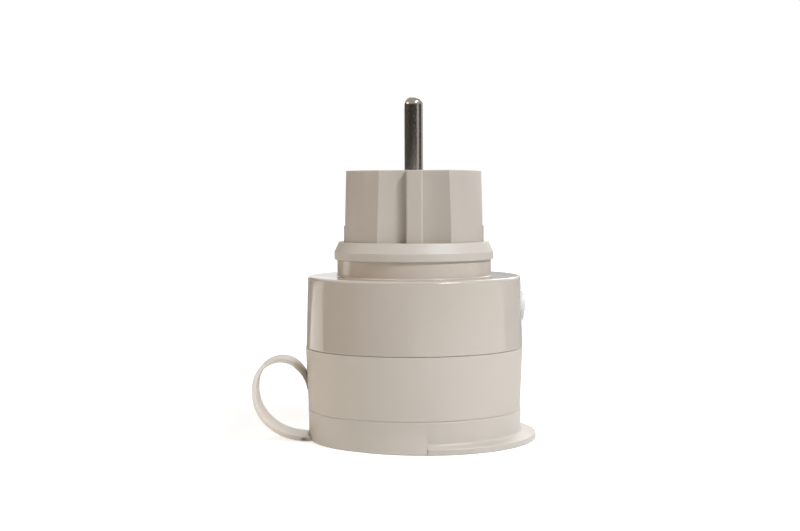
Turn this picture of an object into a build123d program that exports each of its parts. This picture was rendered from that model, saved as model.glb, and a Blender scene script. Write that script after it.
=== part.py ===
from build123d import *
import math
import os

os.makedirs("parts", exist_ok=True)

# Outdoor smart plug. Millimetres, +Z towards the tips of the plug pins.
# The origin is the middle of the flat face it stands on, the outside of the socket cap.

# Clearances shared by the fixed pieces
slip = 0.1
close_fit = 0.02

# Heights, from the standing face upwards
cap_height = 8.1
cap_seam = 0.15
end_wall = 2.0
lower_shell_height = 16.2
shell_seam = 0.12
neck_height = 4.25
collar_height = 4.8
plug_height = 18.76
pin_length = 19.0

# Pins of the plug: a pair of solid pins, with what holds them
pin_radius = 2.4
pin_pitch = 19.0
pin_dome = 2.1
pin_neck_step = 0.2
pin_shank_step = 0.2
pin_tail_step = 0.5
rivet_step = 0.6
rivet_height = 0.8
pin_boss_wall = 1.8
pin_boss_height = 8.2

# Socket recess under the cap
socket_radius = 19.75
socket_depth = 17.5
socket_wall = 1.8
socket_floor = 2.5
socket_hole_gap = 0.4
guide_rib_width = 5.2
guide_rib_height = 2.85
guide_rib_setback = 2.75
seat_ledge = 1.65
seat_flange_thickness = 1.5

# Case screws and their bosses, which fill the ring between the recess and the shell
case_boss_radius = 2.45
case_boss_overlap = 0.25
case_screw_start = 30.0
case_head_radius = 1.8
case_head_height = 1.4
case_shank_radius = 1.0
case_shank_length = 14.0
case_screw_seat = 11.15
boss_split = 0.2

# Outer shells: a slight swell up to the seam, then a slight taper
shell_wall = 2.0
cap_taper = 0.1
waist_swell = 0.63
shoulder_taper = 0.53
shoulder_round = 0.8
tongue_gap = 0.2
tongue_wall = 1.25
tongue_height = 3.0
gasket_height = 1.1
gasket_depth = 0.8
gasket_setback = 0.9

# Plug insert that enters the wall socket
plug_face_radius = 18.2
plug_draft = 0.35
plug_wall = 2.0
plug_roof = 3.0
plug_round = 0.5
flange_ledge = 0.8
flange_thickness = 1.6
recess_side = 9.2
recess_inset = 5.5
recess_flat_half = 2.6
rib_half = 2.05
rib_height = 2.1
rib_round = 0.3
clip_groove_half = 3.2
clip_groove_depth = 2.2
clip_pad_half = 4.5

# Neck, and the collar that seals on the wall socket
neck_wall = 1.95
collar_step = 0.6
collar_taper = 1.25
collar_band = 2.15
collar_wall = 1.85
collar_lip = 1.5
collar_round = 0.4

# Earth sleeve, clips and strips of the plug
strip_thickness = 0.8
strip_bend = 0.8
sleeve_clip_gap = 0.2
sleeve_gap = 0.05
sleeve_wall = 0.65
sleeve_cover = 1.0
sleeve_mouth_step = 0.3
sleeve_boss_wall = 1.2
clip_width = 4.2
clip_bow = 1.3
clip_bow_bend = 9.0
clip_tip_setback = 1.2
clip_lead = 3.2
clip_foot_lap = 0.65
bridge_gap = 0.05
bridge_width = 4.0
link_inset = 1.25
link_width = 3.0

# Socket cap
cap_floor = 1.6
cap_wall = 2.3
cap_land = 1.95
spigot_clearance = 0.7
spigot_wall = 2.4
spigot_height = 2.15
seal_section = 1.1
seal_setback = 0.5
foot_chamfer = 0.3
tab_margin = 1.4
tab_shift = 2.8
tab_thickness = 1.9
tab_round = 0.4
grip_half_angle = 84.0
grip_proud = 0.2
grip_drop = 0.15

# Tether strap, bent in the XZ plane between the cap and the lower shell
strap_thickness = 1.1
strap_width = 12.0
strap_offset = -1.75
strap_lift = 0.05
low_bend_radius = 12.6
tail_inset = 0.35
tail_bend_radius = 1.25
tail_drop = 0.6
lug_gap = 0.1
lug_length = 1.4
anchor_inset = 1.6
anchor_thickness = 1.2
anchor_height = 2.8
anchor_lap = 0.8
anchor_lift = 0.05
slot_gap = 0.2
slot_rise = 4.9

# Insert screws, board screws and the cross in every screw head
insert_screw_start = 60.0
insert_head_radius = 1.5
insert_head_height = 1.1
insert_shank_radius = 0.8
insert_shank_length = 3.4
board_screw_inset = 1.9
board_screw_angles = (205.0, 335.0)
board_post_radius = 1.8
board_head_radius = 1.5
board_head_height = 1.1
board_shank_radius = 0.8
board_shank_length = 4.2
cross_width = 0.5
cross_depth = 0.6

# Shutter behind the socket holes
shutter_thickness = 1.6
shutter_gap = 0.3
shutter_overlap = 0.2
shutter_turn = 40.0
shutter_window_gap = 0.3
shutter_ramp = 0.9
pivot_radius = 2.0
pivot_gap = 0.05
hub_height = 0.3
hub_margin = 0.3
stop_radius = 0.8
stop_gap = 0.2
stop_spread = 31.0
stop_tab_lap = 0.7
stop_tab_width = 2.76
cover_margin = 0.3
cover_thickness = 1.4
cover_post_offset = 0.9
cover_post_radius = 1.2
cover_ear_wall = 1.0
spring_gap = 0.7
spring_wire = 0.2
spring_pitch = 0.85
spring_turns = 2.0
spring_lift = 0.05

# Contacts of the socket
contact_gap = 0.05
contact_wall = 0.7
contact_length = 10.2
contact_flange = 1.05
contact_slit = 0.6
stirrup_clearance = 1.7
stirrup_width = 4.5
stirrup_edge = 0.65
stirrup_bow = 2.2
stirrup_nip_bend = 1.6
stirrup_tip_height = 3.2
stirrup_nip_height = 6.4
stirrup_seat_height = 12.0
stirrup_gap = 0.15

# Board and what it carries
board_thickness = 1.6
board_clearance = 1.37
board_edge_gap = 1.1
relay_length = 20.0
relay_width = 10.4
relay_height = 15.4
relay_leg_radius = 0.5
relay_leg_x = 8.0
relay_leg_y = 3.5
leg_out = 0.5
transformer_gap = 0.15
transformer_depth = 9.5
transformer_width = 12.0
transformer_height = 7.4
transformer_angle = 225.0
capacitor_radius = 3.8
capacitor_height = 7.4
capacitor_angles = (97.0, 123.0)
choke_radius = 3.5
choke_height = 7.0
choke_angle = 290.0
fuse_radius = 3.3
fuse_height = 6.5
fuse_angle = 315.0
radio_depth = 8.0
radio_width = 11.0
radio_height = 2.6
radio_angle = 62.0
led_size = 1.6
led_height = 0.9
led_inset = 2.4
led_angle = 348.0
busbar_eye_wall = 1.1
busbar_width = 3.0
busbar_reach = 8.0

# Power button and its light ring in the side of the upper shell
button_drop = 1.45
button_radius = 2.05
button_proud = 0.4
button_flange_radius = 3.0
button_flange = 0.8
button_flange_gap = 0.48
button_round = 0.3
button_seal_section = 0.7
button_seal_setback = 0.4
button_hole_gap = 0.55
light_ring_radius = 4.2
light_ring_proud = 0.62
light_ring_depth = 1.33
light_ring_round = 0.4
light_ring_gap = 0.05
switch_depth = 3.6
switch_width = 6.0
switch_height = 3.5
switch_gap = 1.15
plunger_radius = 1.2
plunger_in = 0.6
plunger_well = 1.2
notch_gap = 0.2

# Heights that follow: socket, shutter, contacts, board and shells, in that order
base_z = cap_height + cap_seam
inner_base_z = base_z + end_wall
waist_z = base_z + lower_shell_height
tongue_z = waist_z + tongue_height
upper_z = waist_z + shell_seam
socket_floor_z = base_z + socket_depth
socket_back_z = socket_floor_z + socket_floor
shutter_z = socket_back_z + shutter_gap
shutter_top_z = shutter_z + shutter_thickness
hub_top_z = shutter_top_z + hub_height
spring_start_z = hub_top_z + spring_wire + spring_lift / 2
spring_height = spring_pitch * spring_turns
cover_z = hub_top_z + spring_height + 2 * spring_wire + spring_lift
cover_top_z = cover_z + cover_thickness
stirrup_z = cover_top_z + shutter_gap
stirrup_top_z = stirrup_z + strip_thickness
board_z = stirrup_top_z + stirrup_clearance
board_top_z = board_z + board_thickness
flange_z = board_top_z + board_clearance
roof_z = flange_z + flange_thickness
shoulder_z = roof_z + shell_wall
collar_z = shoulder_z + neck_height
collar_top_z = collar_z + collar_height
collar_lip_z = collar_top_z - collar_lip
plug_face_z = collar_top_z + plug_height
plug_roof_z = plug_face_z - plug_roof
pin_tip_z = plug_face_z + pin_length
boss_end_z = plug_roof_z - pin_boss_height
busbar_top_z = boss_end_z - strip_thickness
busbar_z = busbar_top_z - strip_thickness
rivet_z = busbar_z - rivet_height
bridge_top_z = rivet_z - strip_thickness
bridge_z = bridge_top_z - strip_thickness
case_seat_z = base_z + case_screw_seat
spigot_top_z = cap_height + spigot_height
seal_top_z = spigot_top_z - seal_setback
seal_z = seal_top_z - seal_section
button_height = board_z - button_drop

# Radii that follow, from the pins and the recess outwards
pin_y = pin_pitch / 2
pin_neck_radius = pin_radius - pin_neck_step
pin_shank_radius = pin_neck_radius - pin_shank_step
pin_tail_radius = pin_shank_radius - pin_tail_step
rivet_radius = pin_tail_radius + rivet_step
pin_boss_radius = pin_shank_radius + pin_boss_wall
sleeve_bore = pin_radius + sleeve_gap
sleeve_radius = sleeve_bore + sleeve_wall
sleeve_mouth = sleeve_bore + sleeve_mouth_step
socket_hole_radius = pin_radius + socket_hole_gap
socket_outer_radius = socket_radius + socket_wall
guide_rib_reach = socket_radius - guide_rib_height
seat_flange_radius = socket_outer_radius + seat_ledge
case_screw_circle = socket_outer_radius + slip + case_boss_radius
base_radius = case_screw_circle + case_boss_radius - case_boss_overlap + shell_wall
cap_foot_radius = base_radius - cap_taper
waist_radius = base_radius + waist_swell
shoulder_radius = waist_radius - shoulder_taper
tongue_radius = waist_radius - shell_wall - tongue_gap
gasket_bore = tongue_radius - gasket_depth
plug_foot_radius = plug_face_radius + plug_draft
neck_bore = plug_foot_radius + slip
neck_radius = plug_foot_radius + slip + neck_wall
insert_screw_circle = (neck_bore + neck_radius) / 2
flange_radius = neck_radius + flange_ledge
collar_radius = neck_radius + collar_step
collar_top_radius = collar_radius - collar_taper
collar_bore = collar_radius - collar_wall
cavity_radius = plug_face_radius - plug_wall
recess_half = plug_face_radius - recess_side
recess_floor = pin_y + recess_inset
cavity_half = recess_floor - plug_wall
rib_reach = recess_floor + rib_height
clip_groove_floor = plug_face_radius - clip_groove_depth
pad_face = clip_groove_floor - plug_wall
bridge_half = pad_face - bridge_gap
clip_foot_place = bridge_half - clip_foot_lap
sleeve_offset = clip_foot_place - sleeve_radius - sleeve_clip_gap
spigot_radius = socket_radius - spigot_clearance
spigot_bore = spigot_radius - spigot_wall
cap_land_radius = spigot_radius + cap_land
seal_bore = spigot_radius - seal_section
tab_radius = base_radius + tab_margin
shutter_radius = pin_y + socket_hole_radius + shutter_overlap
shutter_window_radius = socket_hole_radius + shutter_window_gap
stop_circle = shutter_radius + stop_gap + stop_radius
stop_tab_reach = stop_circle + stop_tab_lap
cover_radius = stop_tab_reach + cover_margin
cover_post_circle = cover_radius + cover_post_offset
spring_radius = pivot_radius + spring_gap + spring_wire
contact_bore = pin_radius + contact_gap
contact_radius = contact_bore + contact_wall
contact_flange_radius = contact_radius + contact_flange
stirrup_reach = socket_radius - stirrup_edge
stirrup_nip = stirrup_reach - stirrup_bow
board_radius = shoulder_radius - shell_wall - board_edge_gap
board_screw_circle = board_radius - board_screw_inset
part_circle = cover_radius + transformer_gap + transformer_depth / 2
led_circle = board_radius - led_inset
busbar_eye_radius = pin_tail_radius + busbar_eye_wall
busbar_leg_x = busbar_reach - strip_thickness / 2
link_x = bridge_half - link_inset + strip_thickness / 2

# Places along X of the power button's parts, from the wall inwards
shell_taper = shoulder_taper / (shoulder_z - upper_z)
button_wall_radius = waist_radius - shell_taper * (button_height - upper_z)
light_ring_face = button_wall_radius + light_ring_proud
light_ring_seat = button_wall_radius - light_ring_depth
button_face = light_ring_face + button_proud
button_flange_face = button_wall_radius - shell_wall - button_flange_gap
button_back = button_flange_face - button_flange
button_seal_place = button_flange_face + button_seal_setback
button_hole_radius = button_radius + button_hole_gap
switch_face = button_back - switch_gap
board_notch_place = switch_face + notch_gap

# Middle line of the strap: floor, low bend, side bend, top bend and tail
strap_middle_y = strap_offset
strap_floor_z = strap_lift + strap_thickness / 2
anchor_place = base_radius - shell_wall - anchor_inset
anchor_width = strap_width + 2 * anchor_lap
lug_root_x = -(base_radius + lug_gap)
lug_end_x = lug_root_x - lug_length
low_bend_z = strap_floor_z + low_bend_radius
strap_far_x = lug_end_x - low_bend_radius
tail_x = -(base_radius - tail_inset)
tail_z = inner_base_z + anchor_lift + anchor_height / 2
tail_turn_x = tail_x + tail_bend_radius
tail_turn_z = tail_z + tail_bend_radius
top_bend_z = tail_turn_z + tail_drop
side_bend_radius = (top_bend_z - low_bend_z + tail_x - strap_far_x) / 2
side_bend_x = strap_far_x + side_bend_radius
top_bend_radius = tail_x - side_bend_x


def turned(*points, mode=Mode.ADD):
    """Turn a closed outline of radius and height points round the Z axis."""
    with BuildSketch(Plane.XZ) as outline:
        with BuildLine():
            Polyline(*points, close=True)
        make_face()
    revolve(outline.sketch, axis=Axis.Z, mode=mode)


def disc(radius, low, high, places=((0, 0),), mode=Mode.ADD):
    """Stand one or more round bars between two heights."""
    with BuildSketch(Plane.XY.offset(low)) as outline:
        with Locations(*places):
            Circle(radius)
    extrude(outline.sketch, amount=high - low, mode=mode)


def block(length, width, low, high, places=((0, 0),), mode=Mode.ADD):
    """Stand one or more square bars between two heights."""
    with BuildSketch(Plane.XY.offset(low)) as outline:
        with Locations(*places):
            Rectangle(length, width)
    extrude(outline.sketch, amount=high - low, mode=mode)


def spoke(inner, outer, width, low, high, angle, mode=Mode.ADD):
    """Stand a square bar that runs outwards at an angle, between two radii and two heights."""
    with BuildSketch(Plane.XY.offset(low)) as outline:
        with PolarLocations((inner + outer) / 2, 1, start_angle=angle):
            Rectangle(outer - inner, width)
    extrude(outline.sketch, amount=high - low, mode=mode)


def side_disc(radius, inner, outer, mode=Mode.ADD):
    """Lay a round bar along X at the height of the power button."""
    with BuildSketch(Plane.YZ.offset(inner)) as outline:
        with Locations((0, button_height)):
            Circle(radius)
    extrude(outline.sketch, amount=outer - inner, mode=mode)


def bent_strip(width, bends, *points):
    """Bend a flat metal strip through points in the XZ plane, one bend radius a corner."""
    with BuildSketch(Plane.XZ) as outline:
        with BuildLine():
            FilletPolyline(*points, radius=bends)
        trace(line_width=strip_thickness)
    extrude(outline.sketch, amount=width / 2, both=True)


def screws(places, seat, head_radius, head_height, shank_radius, shank_length):
    """Screws that point up, with their heads under the seat and a cross in each head."""
    disc(head_radius, seat - head_height, seat, places)
    disc(shank_radius, seat, seat + shank_length, places)
    for turn in (0, 90):
        with BuildSketch(Plane.XY.offset(seat - head_height)) as slot:
            with Locations(*places):
                Rectangle(1.3 * head_radius, cross_width, rotation=turn)
        extrude(slot.sketch, amount=cross_depth, mode=Mode.SUBTRACT)


def on_circle(radius, angles):
    """Places at angles in degrees on a circle about the Z axis."""
    return [
        (radius * math.cos(math.radians(a)), radius * math.sin(math.radians(a)))
        for a in angles
    ]


def thirds(start):
    """Three evenly spaced angles."""
    return (start, start + 120, start + 240)


pin_places = [(0, pin_y), (0, -pin_y)]
case_screw_places = on_circle(case_screw_circle, thirds(case_screw_start))
insert_screw_places = on_circle(insert_screw_circle, thirds(insert_screw_start))
board_screw_places = on_circle(board_screw_circle, board_screw_angles)
cover_post_places = [(cover_post_circle, 0), (-cover_post_circle, 0)]
relay_leg_places = [
    (x, y) for x in (-relay_leg_x, relay_leg_x) for y in (-relay_leg_y, relay_leg_y)
]
busbar_leg_places = [(busbar_leg_x, pin_y), (busbar_leg_x, -pin_y)]


# Upper shell: glossy cylinder, flat shoulder and the neck that carries the collar
with BuildPart() as upper_housing:
    turned(
        (waist_radius, upper_z),
        (shoulder_radius, shoulder_z),
        (neck_radius, shoulder_z),
        (neck_radius, collar_z),
        (collar_bore - close_fit, collar_z),
        (collar_bore - close_fit, collar_lip_z),
        (neck_bore, collar_lip_z),
        (neck_bore, roof_z),
        (shoulder_radius - shell_wall, roof_z),
        (waist_radius - shell_wall, upper_z),
    )
    shoulder_rings = upper_housing.edges().filter_by(GeomType.CIRCLE)
    shoulder_rings = shoulder_rings.filter_by_position(Axis.Z, shoulder_z, shoulder_z)
    fillet(shoulder_rings.sort_by(SortBy.RADIUS)[-1], shoulder_round)
    disc(case_boss_radius, tongue_z + slip + boss_split, roof_z, case_screw_places)
    disc(board_post_radius, board_top_z, roof_z, board_screw_places)
    disc(
        case_shank_radius + close_fit,
        tongue_z,
        case_seat_z + case_shank_length + slip,
        case_screw_places,
        Mode.SUBTRACT,
    )
    disc(
        board_shank_radius + close_fit,
        board_z,
        board_z + board_shank_length + slip,
        board_screw_places,
        Mode.SUBTRACT,
    )
    disc(
        insert_shank_radius + close_fit,
        flange_z,
        flange_z + insert_shank_length + slip,
        insert_screw_places,
        Mode.SUBTRACT,
    )
    side_disc(button_hole_radius, switch_face, waist_radius, Mode.SUBTRACT)
    side_disc(
        light_ring_radius + light_ring_gap, light_ring_seat, waist_radius, Mode.SUBTRACT
    )
upper_housing.part.label = "upper_housing"
export_step(upper_housing.part, "parts/upper_housing.step")

gasket_outline = (
    (gasket_bore, waist_z + gasket_setback),
    (tongue_radius, waist_z + gasket_setback),
    (tongue_radius, waist_z + gasket_setback + gasket_height),
    (gasket_bore, waist_z + gasket_setback + gasket_height),
)

# Lower shell: matte ring with a tongue into the upper shell and three screw bosses
with BuildPart() as lower_housing:
    turned(
        (base_radius, base_z),
        (waist_radius, waist_z),
        (tongue_radius, waist_z),
        (tongue_radius, tongue_z),
        (tongue_radius - tongue_wall, tongue_z),
        (tongue_radius - tongue_wall, waist_z - tongue_height),
        (base_radius - shell_wall, inner_base_z),
        (socket_outer_radius + slip, inner_base_z),
        (socket_outer_radius + slip, base_z),
    )
    disc(case_boss_radius, inner_base_z, tongue_z + slip, case_screw_places)
    turned(*gasket_outline, mode=Mode.SUBTRACT)
    disc(
        case_head_radius + slip,
        base_z,
        case_seat_z,
        case_screw_places,
        Mode.SUBTRACT,
    )
    disc(
        case_shank_radius + slip,
        case_seat_z,
        tongue_z + slip,
        case_screw_places,
        Mode.SUBTRACT,
    )
    slot_low = tail_z - strap_thickness / 2 - slot_gap
    slot_high = top_bend_z + slot_rise
    with BuildSketch(Plane.YZ.offset(-waist_radius)):
        with Locations((strap_middle_y, (slot_low + slot_high) / 2)):
            Rectangle(strap_width + 2 * slot_gap, slot_high - slot_low)
    extrude(amount=waist_radius - anchor_place, mode=Mode.SUBTRACT)
lower_housing.part.label = "lower_housing"
export_step(lower_housing.part, "parts/lower_housing.step")

# Gasket between the two shells, in the groove of the tongue
with BuildPart() as housing_gasket:
    turned(*gasket_outline)
housing_gasket.part.label = "housing_gasket"
export_step(housing_gasket.part, "parts/housing_gasket.step")

# Soft collar, stretched over the top of the neck
with BuildPart() as seal_collar:
    turned(
        (collar_bore, collar_z),
        (collar_radius, collar_z),
        (collar_radius, collar_z + collar_band),
        (collar_top_radius, collar_top_z),
        (neck_bore, collar_top_z),
        (neck_bore, collar_lip_z),
        (collar_bore, collar_lip_z),
    )
    collar_rings = seal_collar.edges().filter_by_position(Axis.Z, collar_z, collar_z)
    fillet(collar_rings.sort_by(SortBy.RADIUS)[-1], collar_round)
seal_collar.part.label = "seal_collar"
export_step(seal_collar.part, "parts/seal_collar.step")


def side_recesses():
    """Cut the two recesses on the line of the pins, each with its middle rib."""
    shoulder_y = math.sqrt(plug_face_radius**2 - recess_half**2)
    outside_y = plug_foot_radius + plug_wall
    with BuildSketch(Plane.XY.offset(collar_top_z)) as outline:
        with BuildLine():
            Polyline(
                (0, -rib_reach),
                (rib_half, -rib_reach),
                (rib_half, -recess_floor),
                (recess_flat_half, -recess_floor),
            )
            TangentArc(
                (recess_flat_half, -recess_floor), (recess_half, -shoulder_y), tangent=(1, 0)
            )
            Polyline((recess_half, -shoulder_y), (recess_half, -outside_y), (0, -outside_y))
            mirror(about=Plane.YZ)
        make_face()
        mirror(about=Plane.XZ)
    extrude(outline.sketch, amount=plug_height, mode=Mode.SUBTRACT)


# Plug insert: hollow round body with a flange under the shoulder
with BuildPart() as plug_insert:
    turned(
        (0, flange_z),
        (flange_radius, flange_z),
        (flange_radius, roof_z),
        (plug_foot_radius, roof_z),
        (plug_foot_radius, collar_top_z),
        (plug_face_radius, plug_face_z),
        (0, plug_face_z),
    )
    fillet(plug_insert.edges().group_by(Axis.Z)[-1], plug_round)
    side_recesses()
    disc(cavity_radius, flange_z, collar_top_z - plug_wall, mode=Mode.SUBTRACT)
    with BuildSketch(Plane.XY.offset(collar_top_z - plug_wall)):
        Circle(cavity_radius)
        Rectangle(2 * cavity_radius, 2 * cavity_half, mode=Mode.INTERSECT)
        with Locations((pad_face + plug_wall, 0), (-pad_face - plug_wall, 0)):
            Rectangle(2 * plug_wall, 2 * clip_pad_half, mode=Mode.SUBTRACT)
    extrude(amount=plug_roof_z - collar_top_z + plug_wall, mode=Mode.SUBTRACT)
    disc(pin_boss_radius, boss_end_z, plug_roof_z, pin_places)
    disc(
        sleeve_radius + sleeve_boss_wall,
        boss_end_z,
        plug_roof_z,
        [(-sleeve_offset, 0)],
    )
    disc(pin_neck_radius + close_fit, plug_roof_z, plug_face_z, pin_places, Mode.SUBTRACT)
    disc(pin_shank_radius + close_fit, boss_end_z, plug_roof_z, pin_places, Mode.SUBTRACT)
    disc(
        sleeve_radius + close_fit,
        flange_z,
        plug_face_z - sleeve_cover,
        [(-sleeve_offset, 0)],
        Mode.SUBTRACT,
    )
    disc(sleeve_mouth, plug_roof_z, plug_face_z, [(-sleeve_offset, 0)], Mode.SUBTRACT)
    groove_depth = plug_foot_radius - clip_groove_floor
    groove_x = clip_groove_floor + groove_depth / 2
    block(
        groove_depth,
        2 * clip_groove_half,
        bridge_top_z - slip,
        plug_face_z,
        [(groove_x, 0), (-groove_x, 0)],
        Mode.SUBTRACT,
    )
    foot_x = (pad_face + clip_groove_floor) / 2
    block(
        plug_wall + 2 * slip,
        clip_width + 2 * slip,
        bridge_top_z - slip,
        bridge_top_z + strip_thickness + slip,
        [(foot_x, 0), (-foot_x, 0)],
        Mode.SUBTRACT,
    )
    disc(
        insert_shank_radius + slip,
        flange_z,
        roof_z,
        insert_screw_places,
        Mode.SUBTRACT,
    )
    disc(case_boss_radius + slip, flange_z, roof_z, case_screw_places, Mode.SUBTRACT)
    disc(board_post_radius + slip, flange_z, roof_z, board_screw_places, Mode.SUBTRACT)
    rib_corners = plug_insert.edges().filter_by(Axis.Z).filter_by(
        lambda e: abs(abs(e.center().X) - rib_half) < slip
        and abs(abs(e.center().Y) - rib_reach) < slip
    )
    fillet(rib_corners, rib_round)
plug_insert.part.label = "plug_insert"
export_step(plug_insert.part, "parts/plug_insert.step")


# Solid pins: domed tip, neck in the plug face, shank in its boss, riveted tail
with BuildPart() as turned_pin:
    turned(
        (0, pin_tip_z),
        (0, rivet_z),
        (rivet_radius, rivet_z),
        (rivet_radius, busbar_z),
        (pin_tail_radius, busbar_z),
        (pin_tail_radius, busbar_top_z),
        (pin_shank_radius, busbar_top_z),
        (pin_shank_radius, plug_roof_z),
        (pin_neck_radius, plug_roof_z),
        (pin_neck_radius, plug_face_z),
        (pin_radius, plug_face_z),
        (pin_radius, pin_tip_z),
    )
    fillet(turned_pin.edges().group_by(Axis.Z)[-1], pin_dome)

with BuildPart() as live_pin:
    with Locations(pin_places[0]):
        add(turned_pin.part)
live_pin.part.label = "live_pin"
export_step(live_pin.part, "parts/live_pin.step")

with BuildPart() as neutral_pin:
    with Locations(pin_places[1]):
        add(turned_pin.part)
neutral_pin.part.label = "neutral_pin"
export_step(neutral_pin.part, "parts/neutral_pin.step")


def busbar(y):
    """One flat bar: eye round the pin's tail, arm, and a leg down through the board."""
    disc(busbar_eye_radius, busbar_z, busbar_top_z, [(0, y)])
    block(busbar_reach, busbar_width, busbar_z, busbar_top_z, [(busbar_reach / 2, y)])
    block(strip_thickness, busbar_width, board_z - leg_out, busbar_top_z, [(busbar_leg_x, y)])
    disc(pin_tail_radius + close_fit, busbar_z, busbar_top_z, [(0, y)], Mode.SUBTRACT)


# Busbars from the pins to the board
with BuildPart() as live_busbar:
    busbar(pin_y)
live_busbar.part.label = "live_busbar"
export_step(live_busbar.part, "parts/live_busbar.step")

with BuildPart() as neutral_busbar:
    busbar(-pin_y)
neutral_busbar.part.label = "neutral_busbar"
export_step(neutral_busbar.part, "parts/neutral_busbar.step")

# Earth path in the plug: bridge, sleeve for the earth pin, side clips and a link down
with BuildPart() as earth_bridge:
    block(2 * bridge_half, bridge_width, bridge_z, bridge_top_z)
    disc(sleeve_radius + slip, bridge_z, bridge_top_z, [(-sleeve_offset, 0)])
earth_bridge.part.label = "earth_bridge"
export_step(earth_bridge.part, "parts/earth_bridge.step")

with BuildPart() as earth_sleeve:
    sleeve_place = [(-sleeve_offset, 0)]
    sleeve_top_z = plug_face_z - sleeve_cover
    disc(sleeve_radius, bridge_top_z, sleeve_top_z, sleeve_place)
    disc(sleeve_bore, bridge_top_z, sleeve_top_z, sleeve_place, Mode.SUBTRACT)
earth_sleeve.part.label = "earth_sleeve"
export_step(earth_sleeve.part, "parts/earth_sleeve.step")

clip_foot_z = bridge_top_z + strip_thickness / 2
clip_tip_z = plug_face_z - clip_tip_setback
clip_x = clip_groove_floor + slip + strip_thickness / 2

with BuildPart() as earth_clip_right:
    bent_strip(
        clip_width,
        (strip_bend, clip_bow_bend, clip_bow_bend),
        (clip_foot_place, clip_foot_z),
        (clip_x, clip_foot_z),
        (clip_x, clip_foot_z + clip_lead),
        (clip_x + clip_bow, (clip_foot_z + clip_lead + clip_tip_z) / 2),
        (clip_x, clip_tip_z),
    )
earth_clip_right.part.label = "earth_clip_right"
export_step(earth_clip_right.part, "parts/earth_clip_right.step")

with BuildPart() as earth_clip_left:
    mirror(earth_clip_right.part, about=Plane.YZ)
earth_clip_left.part.label = "earth_clip_left"
export_step(earth_clip_left.part, "parts/earth_clip_left.step")

with BuildPart() as earth_link:
    block(strip_thickness, link_width, stirrup_top_z, bridge_z, [(link_x, 0)])
earth_link.part.label = "earth_link"
export_step(earth_link.part, "parts/earth_link.step")

# Socket insert: round recess with guide ribs, floor with the pin holes, shutter posts
stop_places = on_circle(stop_circle, (90 + stop_spread, 90 - stop_spread))
with BuildPart() as socket_insert:
    seat_top_z = inner_base_z + seat_flange_thickness
    turned(
        (0, socket_floor_z),
        (socket_radius, socket_floor_z),
        (socket_radius, base_z),
        (socket_outer_radius, base_z),
        (socket_outer_radius, inner_base_z),
        (seat_flange_radius, inner_base_z),
        (seat_flange_radius, seat_top_z),
        (socket_outer_radius, seat_top_z),
        (socket_outer_radius, socket_back_z),
        (0, socket_back_z),
    )
    disc(
        case_boss_radius + slip,
        inner_base_z,
        seat_top_z,
        case_screw_places,
        Mode.SUBTRACT,
    )
    guide_depth = socket_radius + socket_wall / 2 - guide_rib_reach
    guide_y = guide_rib_reach + guide_depth / 2
    block(
        guide_rib_width,
        guide_depth,
        base_z + guide_rib_setback,
        socket_floor_z,
        [(0, guide_y), (0, -guide_y)],
    )
    disc(socket_hole_radius, socket_floor_z, socket_back_z, pin_places, Mode.SUBTRACT)
    slot_length = strip_thickness + 2 * stirrup_gap
    slot_places = [(stirrup_reach, 0), (-stirrup_reach, 0)]
    block(
        slot_length,
        stirrup_width + 2 * stirrup_gap,
        socket_floor_z,
        socket_back_z,
        slot_places,
        Mode.SUBTRACT,
    )
    disc(pivot_radius, socket_back_z, cover_top_z)
    disc(cover_post_radius, socket_back_z, cover_top_z, cover_post_places)
    disc(stop_radius, socket_back_z, shutter_top_z, stop_places)
socket_insert.part.label = "socket_insert"
export_step(socket_insert.part, "parts/socket_insert.step")

# Earth stirrup of the socket: one strip with a spring contact at each side
with BuildPart() as socket_earth_stirrup:
    stirrup_side = (
        (stirrup_reach, base_z + stirrup_tip_height),
        (stirrup_nip, base_z + stirrup_nip_height),
        (stirrup_reach, base_z + stirrup_seat_height),
        (stirrup_reach, stirrup_z + strip_thickness / 2),
    )
    bent_strip(
        stirrup_width,
        (stirrup_nip_bend, stirrup_nip_bend, strip_bend, strip_bend)
        + (stirrup_nip_bend, stirrup_nip_bend),
        *stirrup_side,
        *[(-x, z) for x, z in reversed(stirrup_side)],
    )
socket_earth_stirrup.part.label = "socket_earth_stirrup"
export_step(socket_earth_stirrup.part, "parts/socket_earth_stirrup.step")


def socket_contact(y):
    """One slit tube that grips a pin, with a flange under the board."""
    top_z = stirrup_z + contact_length
    disc(contact_radius, stirrup_z, top_z, [(0, y)])
    disc(contact_flange_radius, board_z - strip_thickness, board_z, [(0, y)])
    disc(contact_bore, stirrup_z, top_z, [(0, y)], Mode.SUBTRACT)
    block(2 * contact_radius, contact_slit, board_top_z, top_z, [(0, y)], Mode.SUBTRACT)
    block(contact_slit, 2 * contact_radius, board_top_z, top_z, [(0, y)], Mode.SUBTRACT)


with BuildPart() as socket_live_contact:
    socket_contact(pin_y)
socket_live_contact.part.label = "socket_live_contact"
export_step(socket_live_contact.part, "parts/socket_live_contact.step")

with BuildPart() as socket_neutral_contact:
    socket_contact(-pin_y)
socket_neutral_contact.part.label = "socket_neutral_contact"
export_step(socket_neutral_contact.part, "parts/socket_neutral_contact.step")

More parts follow.
